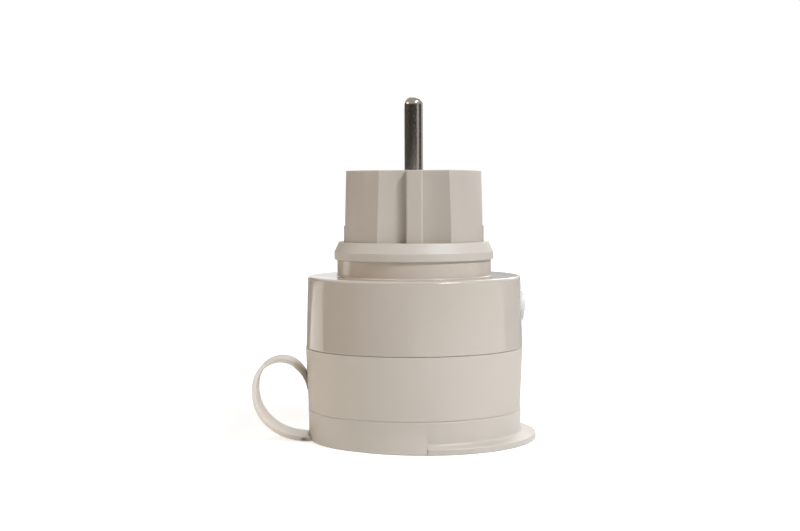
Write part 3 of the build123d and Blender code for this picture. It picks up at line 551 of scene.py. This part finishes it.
def sink(skin, edges, centre, axis, radius, depth):
    """Carry a hole's edges to a new radius and depth along the axis. Returns the new edges."""
    centre, axis = Vector(centre), Vector(axis)
    moved = {}
    for vert in ends_of(edges):
        offset = vert.co - centre
        across = (offset - offset.dot(axis) * axis).normalized()
        moved[vert] = skin.verts.new(centre + across * radius + axis * depth)
    for edge in edges:
        a, b = edge.verts
        skin.faces.new((a, b, moved[b], moved[a]))
    return [skin.edges.get((moved[edge.verts[0]], moved[edge.verts[1]])) for edge in edges]


upper_profile = rounded(
    [
        (waist_radius - shell_wall, waist, 0),
        (waist_radius, waist, shell_edge),
        (shoulder_radius, shoulder, shoulder_round),
        (neck_radius, shoulder, neck_root),
        (neck_radius, neck_top, 0),
        (spigot_radius, neck_top, 0),
        (spigot_radius, spigot_top, 0),
        (neck_bore, spigot_top, 0),
        (neck_bore, shoulder - shell_wall, 0),
        (shoulder_radius - shell_wall, shoulder - shell_wall, 0),
    ]
)
upper_skin = turn(rows(upper_profile, shell_row), even(240))
wall_at_button = waist_radius - (waist_radius - shoulder_radius) * (
    (button_height - waist) / (shoulder - waist)
)
outer_place = (wall_at_button, 0, button_height)
inner_place = (wall_at_button - shell_wall, 0, button_height)
ring_depth = ring_seat - wall_at_button
hole = drill(upper_skin, outer_place, (1, 0, 0), ring_hole_radius)
hole = sink(upper_skin, hole, outer_place, (1, 0, 0), ring_hole_radius, ring_depth)
hole = sink(upper_skin, hole, outer_place, (1, 0, 0), button_hole_radius, ring_depth)
back = drill(upper_skin, inner_place, (-1, 0, 0), button_hole_radius)
bmesh.ops.bridge_loops(upper_skin, edges=hole + back)


gloss_shell = moulded("gloss_shell", (196, 185, 173), 0.09, 0.13, 2.2, 0.0015, 4, 4)
upper_shell = made("upper_shell", upper_skin, gloss_shell)
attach(upper_shell, "housing")
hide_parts("upper_housing")


# Seal collar: a soft ring of moulded elastomer that is stretched over the neck's spigot.
# Its cone presses on the wall socket, and its band hangs over the edge of the neck.
collar_radius = 21.2
collar_top_radius = 19.95
collar_bore = 19.35
collar_band = 2.15
collar_round = 0.4

collar_profile = rounded(
    [
        (collar_bore, neck_top, 0),
        (collar_radius, neck_top, collar_round),
        (collar_radius, neck_top + collar_band, 0.12),
        (collar_top_radius, plug_foot, 0.15),
        (neck_bore, plug_foot, 0.1),
        (neck_bore, spigot_top, 0),
        (collar_bore, spigot_top, 0),
    ],
    hold=0.01,
)
collar_rubber = moulded("collar_rubber", (199, 191, 181), 0.46, 0.54, 0.2, 0.004, 4, 0)
collar = made("collar", turn(collar_profile, even(240)), collar_rubber)
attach(collar, "housing")
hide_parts("seal_collar")


# Board and electronics: a green glass-fibre board with a relay above it and the rest below.
# They are soldered by their legs, and stay out of sight inside the shells.
contact_brass = metal("contact_brass", (176, 140, 84), (200, 166, 104), 0.24, 0.38, 0.15, 0.004)
board_laminate = moulded("board_laminate", (40, 96, 58), 0.3, 0.42, 0.3, 0.004, 14)
relay_case = moulded("relay_case", (42, 60, 96), 0.4, 0.5, 0.2, 0.006)
transformer_tape = moulded("transformer_tape", (206, 176, 60), 0.35, 0.5, 0.5, 0.01, 16)
capacitor_can = metal("capacitor_can", (150, 152, 156), (176, 178, 182), 0.3, 0.42, 0.12, 0.003)
choke_sleeve = moulded("choke_sleeve", (38, 38, 40), 0.35, 0.5, 0.3, 0.008)
radio_can = metal("radio_can", (170, 170, 168), (196, 196, 192), 0.2, 0.3, 0.2, 0.003)
led_lens = moulded("led_lens", (226, 230, 226), 0.15, 0.25, 0.5, 0.002)
switch_stem = moulded("switch_stem", (44, 44, 46), 0.4, 0.5, 0.15, 0.006)
dress(
    ("live_busbar", "neutral_busbar", "socket_live_contact", "socket_neutral_contact"),
    contact_brass,
)
dress(("main_board",), board_laminate)
dress(("relay",), relay_case)
dress(("transformer",), transformer_tape)
dress(("capacitors",), capacitor_can)
dress(("choke", "fuse"), choke_sleeve)
dress(("radio_module", "tact_switch"), radio_can)
dress(("status_led",), led_lens)
dress(("switch_plunger",), switch_stem)


# Socket: the round recess that takes another plug, with its shutter, spring and cover.
# The recess is moulded in the plug's plastic, and is open only while the cap is off.
shutter_plastic = moulded("shutter_plastic", (176, 168, 156), 0.4, 0.5, 0.15, 0.005)
dress(("socket_insert",), plug_plastic)
dress(("shutter_disc", "shutter_cover"), shutter_plastic)
dress(("shutter_spring",), clip_steel)


# Lower shell: moulded cup with a fine spark-eroded grain, pushed into the upper shell.
# Three long screws hold it from below, and a slot at the side lets the strap in.
base_radius = 28.3
base = 8.25
floor_top = 10.25
lower_top = 24.45
socket_bore = 21.65
tongue_radius = 26.73
tongue_wall = 1.25
tongue_top = 27.45
tongue_foot = 21.45
groove_low = 25.35
groove_high = 26.45
groove_radius = 25.93
screw_circle = 24.1
screw_count = 3
screw_start = math.radians(30)
screw_angles = [screw_start + angle for angle in even(screw_count)]
counterbore = 1.9
counterbore_top = 19.4
slot_middle = 1.28
slot_width = 6.35
slot_low = 10.95
slot_high = 18.45
lower_edge = 0.12
lower_row = 0.6
slot_side = 20.0
snap_height = 0.45
snap_across = 0.5

lower_profile = rows(
    rounded(
        [
            (socket_bore, base, 0),
            (base_radius, base, lower_edge),
            (waist_radius, lower_top, lower_edge),
            (tongue_radius, lower_top, 0),
            (tongue_radius, groove_low, 0),
            (groove_radius, groove_low, 0),
            (groove_radius, groove_high, 0),
            (tongue_radius, groove_high, 0),
            (tongue_radius, tongue_top, 0),
            (tongue_radius - tongue_wall, tongue_top, 0),
            (tongue_radius - tongue_wall, tongue_foot, 0),
            (base_radius - shell_wall, floor_top, 0),
            (socket_bore, floor_top, 0),
        ]
    ),
    lower_row,
)
lower_skin = turn(lower_profile, even(240))
for angle in screw_angles:
    under = upright((screw_circle, base), angle)
    hole = drill(lower_skin, under, (0, 0, -1), counterbore, margin=0.6)
    hole = sink(lower_skin, hole, under, (0, 0, -1), counterbore, base - counterbore_top)
    bmesh.ops.edgeloop_fill(lower_skin, edges=hole)


def cut_slot(skin, side, low, high, middle, width):
    """Open a slot in a wall at one side, and return the edges that it leaves in each face."""
    half = width / 2
    loops = []
    for outward in (True, False):
        cut = []
        for face in skin.faces:
            at = face.calc_center_median()
            way = face.normal.x * side * (1 if outward else -1)
            inside = low < at.z < high and abs(at.y - middle) < half
            if way > facing_share and inside and at.x * side > slot_side:
                cut.append(face)
        border = border_of(skin, cut)
        for vert in ends_of(border):
            reach = math.hypot(vert.co.x, vert.co.y)
            y, z = vert.co.y - middle, vert.co.z
            if min(abs(z - low), abs(z - high)) < snap_height:
                z = low if abs(z - low) < abs(z - high) else high
            if abs(abs(y) - half) < snap_across:
                y = math.copysign(half, y)
            vert.co = (side * math.sqrt(reach ** 2 - (y + middle) ** 2), y + middle, z)
        bmesh.ops.delete(skin, geom=cut, context="FACES")
        loops += border
    return loops


slot_edges = cut_slot(lower_skin, -1, slot_low, slot_high, slot_middle, slot_width)
bmesh.ops.bridge_loops(lower_skin, edges=slot_edges)
matte_shell = moulded("matte_shell", (204, 195, 183), 0.5, 0.6, 0.14, 0.012, 5, 4)
lower_shell = made("lower_shell", lower_skin, matte_shell)
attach(lower_shell, "housing")
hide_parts("lower_housing")

seal_rubber = moulded("seal_rubber", (54, 54, 54), 0.45, 0.6, 0.2, 0.006, 6, 0)
dress(("housing_gasket", "button_seal"), seal_rubber)


# Case screws: three plated steel screws with a cross, driven up through deep holes.
# The same steel is used for the screws of the plug body and of the board.
screw_seat = 19.4
screw_head_radius = 1.8
screw_head_height = 1.4
screw_shank_radius = 1.0
screw_shank_length = 14.0
cross_half = 0.25
cross_reach = 1.17
cross_depth = 0.6


def cross_radius(angle):
    """Outline of the cross in a screw's head."""
    off = (angle + math.pi / 4) % (math.pi / 2) - math.pi / 4
    return min(cross_reach / math.cos(off), cross_half / max(abs(math.sin(off)), 0.001))


def screw_profile(angle):
    """Profile of a screw that points up, with its cross below."""
    recess = cross_radius(angle)
    return rounded(
        [
            (0, cross_depth - screw_head_height, 0),
            (recess, cross_depth - screw_head_height, 0),
            (recess, -screw_head_height, 0),
            (screw_head_radius, -screw_head_height, 0.3),
            (screw_head_radius, 0, 0),
            (screw_shank_radius, 0, 0),
            (screw_shank_radius, screw_shank_length, 0),
            (0, screw_shank_length, 0),
        ],
        steps=3,
    )


screw_steel = metal("screw_steel", (150, 149, 146), (178, 177, 173), 0.25, 0.4, 0.1, 0.004)
one_screw = made("case_screw", turn(screw_profile, even(48)), screw_steel)


def tree_of(name, inputs):
    """Start a Geometry Nodes tree with named inputs, and return its tree, entry and exit."""
    tree = bpy.data.node_groups.new(name, "GeometryNodeTree")
    tree.is_modifier = True
    tree.interface.new_socket("Geometry", in_out="INPUT", socket_type="NodeSocketGeometry")
    for label, kind in inputs.items():
        tree.interface.new_socket(label, in_out="INPUT", socket_type="NodeSocket" + kind)
    tree.interface.new_socket("Geometry", in_out="OUTPUT", socket_type="NodeSocketGeometry")
    return tree, tree.nodes.new("NodeGroupInput"), tree.nodes.new("NodeGroupOutput")


def grown(source, tree, settings, name):
    """Run a Geometry Nodes tree on an object, and keep its result as a plain mesh object."""
    modifier = source.modifiers.new(tree.name, "NODES")
    modifier.node_group = tree
    for item in tree.interface.items_tree:
        if item.in_out == "INPUT" and item.name in settings:
            modifier[item.identifier] = settings[item.name]
    shown = source.evaluated_get(bpy.context.evaluated_depsgraph_get())
    mesh = bpy.data.meshes.new_from_object(shown)
    mesh.name = name
    source.modifiers.remove(modifier)
    bpy.data.objects.remove(source)
    piece = bpy.data.objects.new(name, mesh)
    bpy.context.scene.collection.objects.link(piece)
    return piece


circle_tree, entry, exits = tree_of(
    "screws_on_circle",
    {
        "Count": "Int",
        "Circle Radius": "Float",
        "Start Angle": "Float",
        "Height": "Float",
        "Finish": "Material",
    },
)
ring = add(
    circle_tree,
    "GeometryNodeMeshCircle",
    {"Vertices": entry.outputs["Count"], "Radius": entry.outputs["Circle Radius"]},
)
spin = add(circle_tree, "ShaderNodeCombineXYZ", {"Z": entry.outputs["Start Angle"]})
lift = add(circle_tree, "ShaderNodeCombineXYZ", {"Z": entry.outputs["Height"]})
placed = add(
    circle_tree,
    "GeometryNodeTransform",
    {"Geometry": ring.outputs[0], "Translation": lift.outputs[0], "Rotation": spin.outputs[0]},
)
copies = add(
    circle_tree,
    "GeometryNodeInstanceOnPoints",
    {"Points": placed.outputs[0], "Instance": entry.outputs["Geometry"]},
)
real = add(circle_tree, "GeometryNodeRealizeInstances", {"Geometry": copies.outputs[0]})
coated = add(
    circle_tree,
    "GeometryNodeSetMaterial",
    {"Geometry": real.outputs[0], "Material": entry.outputs["Finish"]},
)
circle_tree.links.new(coated.outputs[0], exits.inputs[0])

case_screws = grown(
    one_screw,
    circle_tree,
    {
        "Count": screw_count,
        "Circle Radius": screw_circle * mm,
        "Start Angle": screw_start,
        "Height": screw_seat * mm,
        "Finish": screw_steel,
    },
    "housing_screws",
)
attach(case_screws, "housing")
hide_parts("case_screws")
dress(("insert_screws", "board_screws"), screw_steel)


# Light ring and power button: a clear milky ring pressed into the upper shell, and a round
# button that slides in it and pushes the switch behind. A rubber ring seals the button.
ring_radius = 4.2
ring_face = 29.246
button_radius = 2.05
button_face = 29.646
button_flange_radius = 3.0
button_flange_face = 26.146
button_back = 25.346
button_play = 0.05
button_groove_low = 0.4
button_groove_high = 1.1
button_groove_depth = 0.35
dish_radius = 1.5
dish_floor_radius = 1.3
dish_depth = 0.12


def sideways(point, angle):
    """Place of a profile point that turns round the button's axis."""
    across, out = point
    return Vector((out, across * math.cos(angle), button_height + across * math.sin(angle)))


ring_plastic, tree, shader, place = blank("ring_plastic")
cloud = noise(tree, millimetres(tree, place), 1.5)
milky = tinted(tree, cloud, tone(232, 233, 233), tone(242, 243, 243))
tree.links.new(milky, shader.inputs["Base Color"])
tree.links.new(between(tree, cloud, 0.16, 0.24), shader.inputs["Roughness"])
shader.inputs["Transmission Weight"].default_value = 0.12
shader.inputs["IOR"].default_value = 1.49
ring_profile = rounded(
    [
        (button_radius + button_play, ring_seat, 0),
        (ring_radius, ring_seat, 0),
        (ring_radius, ring_face, 0.4),
        (button_radius + button_play, ring_face, 0.12),
    ],
    hold=0.05,
)
glow_ring = made("glow_ring", turn(ring_profile, even(96), sideways), ring_plastic)
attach(glow_ring, "housing")
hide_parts("light_ring")

button_profile = rounded(
    [
        (0, button_back, 0),
        (button_flange_radius, button_back, 0.1),
        (button_flange_radius, button_flange_face, 0.1),
        (button_radius, button_flange_face, 0),
        (button_radius, button_flange_face + button_groove_low, 0),
        (button_radius - button_groove_depth, button_flange_face + button_groove_low, 0),
        (button_radius - button_groove_depth, button_flange_face + button_groove_high, 0),
        (button_radius, button_flange_face + button_groove_high, 0),
        (button_radius, button_face, 0.3),
        (dish_radius, button_face, 0.2),
        (dish_floor_radius, button_face - dish_depth, 0.2),
        (0, button_face - dish_depth, 0),
    ],
    hold=0.02,
)
button_plastic = moulded("button_plastic", (222, 219, 214), 0.35, 0.45, 0.15, 0.004)
push_button = made("push_button", turn(button_profile, even(64), sideways), button_plastic)
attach(push_button, "button")
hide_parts("power_button")


# Socket cap: a shallow lid in soft-touch plastic, with a round tab for the finger that
# reaches past its edge, a slightly raised half to grip, and a spigot that carries its seal.
cap_foot_radius = 28.2
cap_top = 8.1
cap_floor = 1.6
cap_wall = 2.3
cap_land_radius = 21.0
plug_in_radius = 19.05
plug_in_bore = 16.65
plug_in_top = 10.25
seal_low = 8.65
seal_high = 9.75
seal_bore = 17.95
tab_radius = 29.7
tab_shift = 2.8
tab_rim = 1.6
tab_root = 2.3
tab_round = 0.45
tab_fillet = 0.7
grip_half = math.radians(84)
grip_blend = math.radians(6)
grip_proud = 0.2
grip_top = 7.95
seam_depth = 0.12
rim_top = 8.23
flare_top = 4.4
flare_blend = 14.0
flare_start = 0.15
flare_round = 0.05
plain_top = 8.0
cap_edge_round = 0.35
cap_corner_round = 0.1
cap_floor_round = 0.3
cap_groove_round = 0.01
cap_step = 0.02
cap_steps = 300
grip_step = 0.0006


def held(value):
    """Value held between 0 and 1."""
    return min(max(value, 0), 1)


def cap_profile(angle):
    """Profile of the cap at one angle: a lip and fillet on the grip's side, else a flare."""
    off = abs((angle + math.pi) % math.tau - math.pi)
    grip = off < grip_half
    share = held((grip_half - off) / grip_blend)
    foot = cap_foot_radius + grip_proud * share
    top = base_radius + grip_proud * share
    edge = tab_shift * math.cos(angle) + math.sqrt(
        tab_radius ** 2 - (tab_shift * math.sin(angle)) ** 2
    )
    edge = max(edge, foot + cap_step)
    groove = base_radius - seam_depth
    if grip:
        seam = grip_top
        side = [(edge, tab_rim, tab_round), (foot, tab_root, tab_fillet)]
    else:
        seam = plain_top
        low = edge - (edge - foot) * flare_start
        side = [(low, flare_top * flare_start, flare_round), (foot, flare_top, flare_blend)]
    return rounded(
        [
            (0, 0, 0),
            (edge, 0, cap_edge_round),
            *side,
            (top, seam, cap_corner_round),
            (groove, seam + cap_step, cap_groove_round),
            (groove, rim_top, cap_groove_round),
            (base_radius - cap_wall, rim_top, cap_corner_round),
            (base_radius - cap_wall, cap_floor, cap_floor_round),
            (cap_land_radius, cap_floor, cap_floor_round),
            (cap_land_radius, cap_top, cap_corner_round),
            (plug_in_radius, cap_top, 0.05),
            (plug_in_radius, seal_low, cap_groove_round),
            (seal_bore, seal_low, cap_groove_round),
            (seal_bore, seal_high, cap_groove_round),
            (plug_in_radius, seal_high, cap_groove_round),
            (plug_in_radius, plug_in_top, cap_corner_round),
            (plug_in_bore, plug_in_top, cap_corner_round),
            (plug_in_bore, cap_floor, cap_floor_round),
            (0, cap_floor, 0),
        ],
        hold=0.002,
    )


cap_angles = even(cap_steps)
for side in (-1, 1):
    for step in (grip_step, -grip_step):
        cap_angles.append((side * (grip_half + step)) % math.tau)
cap_plastic = moulded("cap_plastic", (201, 193, 182), 0.36, 0.44, 0.16, 0.01, 5, 4)
cap = made("cap", turn(cap_profile, sorted(cap_angles)), cap_plastic)
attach(cap, "cap")
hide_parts("socket_cap")
dress(("cap_seal",), seal_rubber)


# Tether strap: a flat moulded band from the cap's edge up and round into the lower shell.
# Its lower end is one with a small lug at the cap, and a bar holds its end inside.
strap_width = 12.0
strap_top_width = 10.5
strap_top_middle = -1.0
strap_root_middle = -1.75
strap_end_width = 5.7
strap_thickness = 1.1
strap_edge = 0.3
strap_step = 0.35
strap_crease = math.radians(40)
taper_low = 2.0
taper_height = 16.0
slot_reach = 31.5
slot_blend = 3.0
slot_part_low = 8.0
strap_route = (
    (-28.6, 0.58),
    (-33.3, 0.85),
    (-38.6, 3.6),
    (-41.9, 8.4),
    (-42.7, 13.4),
    (-41.8, 17.9),
    (-38.8, 20.6),
    (-35.2, 21.6),
    (-31.6, 20.4),
    (-29.2, 17.2),
    (-27.95, 13.6),
    (-27.95, 11.7),
    (-24.7, 11.7),
)

band_tree, entry, exits = tree_of(
    "band_along_path",
    {
        "Width": "Float",
        "Thickness": "Float",
        "Edge": "Float",
        "Step": "Float",
        "Finish": "Material",
    },
)
evenly = add(
    band_tree,
    "GeometryNodeResampleCurve",
    {"Curve": entry.outputs["Geometry"], "Length": entry.outputs["Step"]},
    mode="LENGTH",
)
facing = add(band_tree, "GeometryNodeSetCurveNormal", {"Curve": evenly.outputs[0]}, mode="FREE")
facing.inputs["Normal"].default_value = (0, 1, 0)
section = add(
    band_tree,
    "GeometryNodeCurvePrimitiveQuadrilateral",
    {"Width": entry.outputs["Width"], "Height": entry.outputs["Thickness"]},
)
softened = add(
    band_tree,
    "GeometryNodeFilletCurve",
    {"Curve": section.outputs[0], "Count": 4, "Radius": entry.outputs["Edge"]},
    mode="POLY",
)
swept = add(
    band_tree,
    "GeometryNodeCurveToMesh",
    {"Curve": facing.outputs[0], "Profile Curve": softened.outputs[0], "Fill Caps": True},
)
real = add(band_tree, "GeometryNodeRealizeInstances", {"Geometry": swept.outputs[0]})
coated = add(
    band_tree,
    "GeometryNodeSetMaterial",
    {"Geometry": real.outputs[0], "Material": entry.outputs["Finish"]},
)
band_tree.links.new(coated.outputs[0], exits.inputs[0])

strap_rubber = moulded("strap_rubber", (238, 228, 218), 0.42, 0.52, 0.2, 0.006, 4, 0)
# The band is swept along the route, then its vertices are drawn in towards its upper end
line = bpy.data.curves.new("strap_line", "CURVE")
line.dimensions = "3D"
spline = line.splines.new("NURBS")
spline.points.add(len(strap_route) - 1)
for point, (x, z) in zip(spline.points, strap_route):
    point.co = (x * mm, strap_root_middle * mm, z * mm, 1)
spline.order_u = 4
spline.use_endpoint_u = True
spline.resolution_u = 12
line_object = bpy.data.objects.new("strap_line", line)
bpy.context.scene.collection.objects.link(line_object)
band = grown(
    line_object,
    band_tree,
    {
        "Width": strap_width * mm,
        "Thickness": strap_thickness * mm,
        "Edge": strap_edge * mm,
        "Step": strap_step * mm,
        "Finish": strap_rubber,
    },
    "tether_band",
)
band.data.shade_smooth()
band.data.set_sharp_from_angle(angle=strap_crease)
for vert in band.data.vertices:
    x, y, z = vert.co / mm
    rise = held((z - taper_low) / taper_height)
    wide = strap_width + rise * (strap_top_width - strap_width)
    middle = strap_root_middle + rise * (strap_top_middle - strap_root_middle)
    near = held((x + slot_reach) / slot_blend) if z > slot_part_low else 0
    wide += near * (strap_end_width - wide)
    middle += near * (slot_middle - middle)
    vert.co.y = (middle + (y - strap_root_middle) * wide / strap_width) * mm
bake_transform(band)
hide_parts("strap")
dress(("strap_lug", "strap_anchor"), strap_rubber)


# Studio: a white table and background, a soft key from the upper right, and cards that only
# reflections show, as a photographer stands round a glossy product.
camera_place = (-3.69, -389.0, 65.93)
camera_pitch = math.radians(2.943)
camera_roll = math.radians(0.222)
camera_lens = 65.62
fill_colour = (1.0, 0.98, 0.95, 1)
fill_strength = 0.15
paper_colour = (0.8, 0.8, 0.8, 1)
glow_start = 50
glow_end = 400
glow_level = 0.6
table_radius = 3000
lamp_aim = 40
card_distance = 190
card_columns = 24
card_foot = 0.5
card_top = 130
left_split = 72
right_split = 62
upward = Vector((0, math.sin(camera_pitch), math.cos(camera_pitch)))
view = Vector((0, math.cos(camera_pitch), -math.sin(camera_pitch)))
side = Vector((math.cos(camera_roll), 0, 0)) - math.sin(camera_roll) * upward
upward = Vector((math.sin(camera_roll), 0, 0)) + math.cos(camera_roll) * upward
camera_data = bpy.data.cameras.new("camera")
camera_data.lens = camera_lens
camera_data.sensor_width = 36.0
camera = bpy.data.objects.new("camera", camera_data)
facing = Matrix((side, upward, -view)).transposed().to_4x4()
camera.matrix_world = Matrix.Translation(Vector(camera_place) * mm) @ facing
bpy.context.scene.collection.objects.link(camera)
bpy.context.scene.camera = camera
bpy.context.scene.view_settings.view_transform = "Standard"

room = bpy.data.worlds.new("room")
room.use_nodes = True
bpy.context.scene.world = room
tree = room.node_tree
fill = tree.nodes["Background"]
fill.inputs["Color"].default_value = fill_colour
fill.inputs["Strength"].default_value = fill_strength
rays = add(tree, "ShaderNodeLightPath").outputs
seen = maths(tree, "MAXIMUM", rays["Is Camera Ray"], rays["Is Glossy Ray"])
seen = maths(tree, "MAXIMUM", seen, rays["Is Transmission Ray"])
white = add(tree, "ShaderNodeEmission", {"Color": (1, 1, 1, 1), "Strength": 1.0}).outputs[0]
mixed = add(tree, "ShaderNodeMixShader", {0: seen, 1: fill.outputs[0], 2: white}).outputs[0]
tree.links.new(mixed, tree.nodes["World Output"].inputs["Surface"])

# The table shows white to the camera and to reflections, and hides nothing from below
table_top = bpy.data.materials.new("table_top")
table_top.use_nodes = True
tree = table_top.node_tree
tree.nodes.remove(tree.nodes["Principled BSDF"])
paper = add(tree, "ShaderNodeBsdfDiffuse", {"Color": paper_colour}).outputs[0]
rays = add(tree, "ShaderNodeLightPath").outputs
seen = maths(tree, "MAXIMUM", rays["Is Camera Ray"], rays["Is Glossy Ray"])
place = add(tree, "ShaderNodeTexCoord").outputs["Object"]
away = add(tree, "ShaderNodeVectorMath", {0: place}, operation="LENGTH").outputs["Value"]
values = {
    "Value": away,
    "From Min": glow_start * mm,
    "From Max": glow_end * mm,
    "To Min": glow_level,
    "To Max": 1.0,
}
rise = add(tree, "ShaderNodeMapRange", values).outputs["Result"]
values = {"Color": (1, 1, 1, 1), "Strength": maths(tree, "MULTIPLY", seen, rise)}
glow = add(tree, "ShaderNodeEmission", values).outputs[0]
both = add(tree, "ShaderNodeAddShader", {0: paper, 1: glow}).outputs[0]
under = add(tree, "ShaderNodeNewGeometry").outputs["Backfacing"]
under = maths(tree, "MULTIPLY", rays["Is Camera Ray"], under)
clear = add(tree, "ShaderNodeBsdfTransparent").outputs[0]
mixed = add(tree, "ShaderNodeMixShader", {0: under, 1: both, 2: clear}).outputs[0]
tree.links.new(mixed, tree.nodes["Material Output"].inputs["Surface"])
table = bmesh.new()
bmesh.ops.create_circle(table, cap_ends=True, radius=table_radius, segments=64)
table = made("table", table, table_top)


def lamp(name, turn_angle, rise, distance, size, power, colour=(1, 1, 1)):
    """Soft lamp that looks at the object, turned from the front towards the right.

    Angles are in degrees, distance and size in metres, and power in watts.
    """
    data = bpy.data.lights.new(name, "AREA")
    data.shape = "RECTANGLE"
    data.size, data.size_y = size
    data.energy = power
    data.color = colour
    aim = Vector((0, 0, lamp_aim * mm))
    a, e = math.radians(turn_angle), math.radians(rise)
    way = Vector((math.sin(a) * math.cos(e), -math.cos(a) * math.cos(e), math.sin(e)))
    facing = way.to_track_quat("Z", "Y").to_matrix().to_4x4()
    light = bpy.data.objects.new(name, data)
    light.matrix_world = Matrix.Translation(aim + way * distance) @ facing
    bpy.context.scene.collection.objects.link(light)


lamp("key", 52, 46, 0.9, (0.1, 0.14), 4.7, (0.85, 0.9, 1.0))
lamp("front", 38, 42, 0.9, (0.17, 0.17), 2.6, (1.0, 0.98, 0.92))
lamp("left", -85, 15, 0.9, (0.5, 0.5), 3.19, (1.0, 0.914, 0.782))
lamp("back", 165, 35, 1.2, (0.8, 0.8), 5.0)


def card(name, lines, first_strength, last_strength):
    """Bent card round the object that only reflections show.

    Each line holds a height in millimetres and two turns in degrees. The light changes evenly
    from the first turn to the last.
    """
    finish = bpy.data.materials.new(name)
    finish.use_nodes = True
    tree = finish.node_tree
    tree.nodes.remove(tree.nodes["Principled BSDF"])
    level = add(tree, "ShaderNodeAttribute", attribute_name="level").outputs["Fac"]
    glow = add(tree, "ShaderNodeEmission", {"Color": (1, 1, 1, 1), "Strength": level}).outputs[0]
    tree.links.new(glow, tree.nodes["Material Output"].inputs["Surface"])
    sheet = bmesh.new()
    levels = sheet.verts.layers.float.new("level")
    strips = []
    for height, first, last in lines:
        strip = []
        for k in range(card_columns + 1):
            share = k / card_columns
            angle = math.radians(first + (last - first) * share - 90)
            vert = sheet.verts.new(upright((card_distance, height), angle))
            vert[levels] = first_strength + (last_strength - first_strength) * share
            strip.append(vert)
        strips.append(strip)
    for low, high in zip(strips, strips[1:]):
        for k in range(card_columns):
            sheet.faces.new((low[k], low[k + 1], high[k + 1], high[k]))
    piece = made(name, sheet, finish)
    piece.visible_camera = False
    piece.visible_diffuse = False
    piece.visible_shadow = False
    piece.visible_transmission = False


card(
    "dark_card_left",
    (
        (card_foot, -103, -70),
        (5, -103, -70),
        (32, -108, -70),
        (36, -105, -70),
        (40, -102, -70),
        (60, -113.5, -70),
        (left_split, -113.5, -70),
        (card_top, -113.5, -70),
    ),
    0.06,
    0.1,
)
card("shaded_card_left", ((card_foot, -70, 0), (left_split, -70, 0)), 0.1, 1.0)
card("dark_card_high", ((left_split, -70, 38), (card_top, -70, 38)), 0.06, 0.06)
card(
    "dark_gap",
    (
        (card_foot, -153, -138),
        (5, -153, -138),
        (32, -153, -131),
        (36, -153, -122),
        (40, -153, -121),
        (60, -153, -115.5),
        (card_top, -153, -115.5),
    ),
    0.12,
    0.12,
)
card("dark_card_right", ((right_split, 66, 103), (card_top, 66, 103)), 0.1, 0.1)
card("shaded_card_right", ((card_foot, 103, 178), (right_split, 103, 178)), 0.7, 0.4)
card("bright_line", ((card_foot, 81.5, 84), (right_split, 82.5, 84)), 1.7, 1.7)
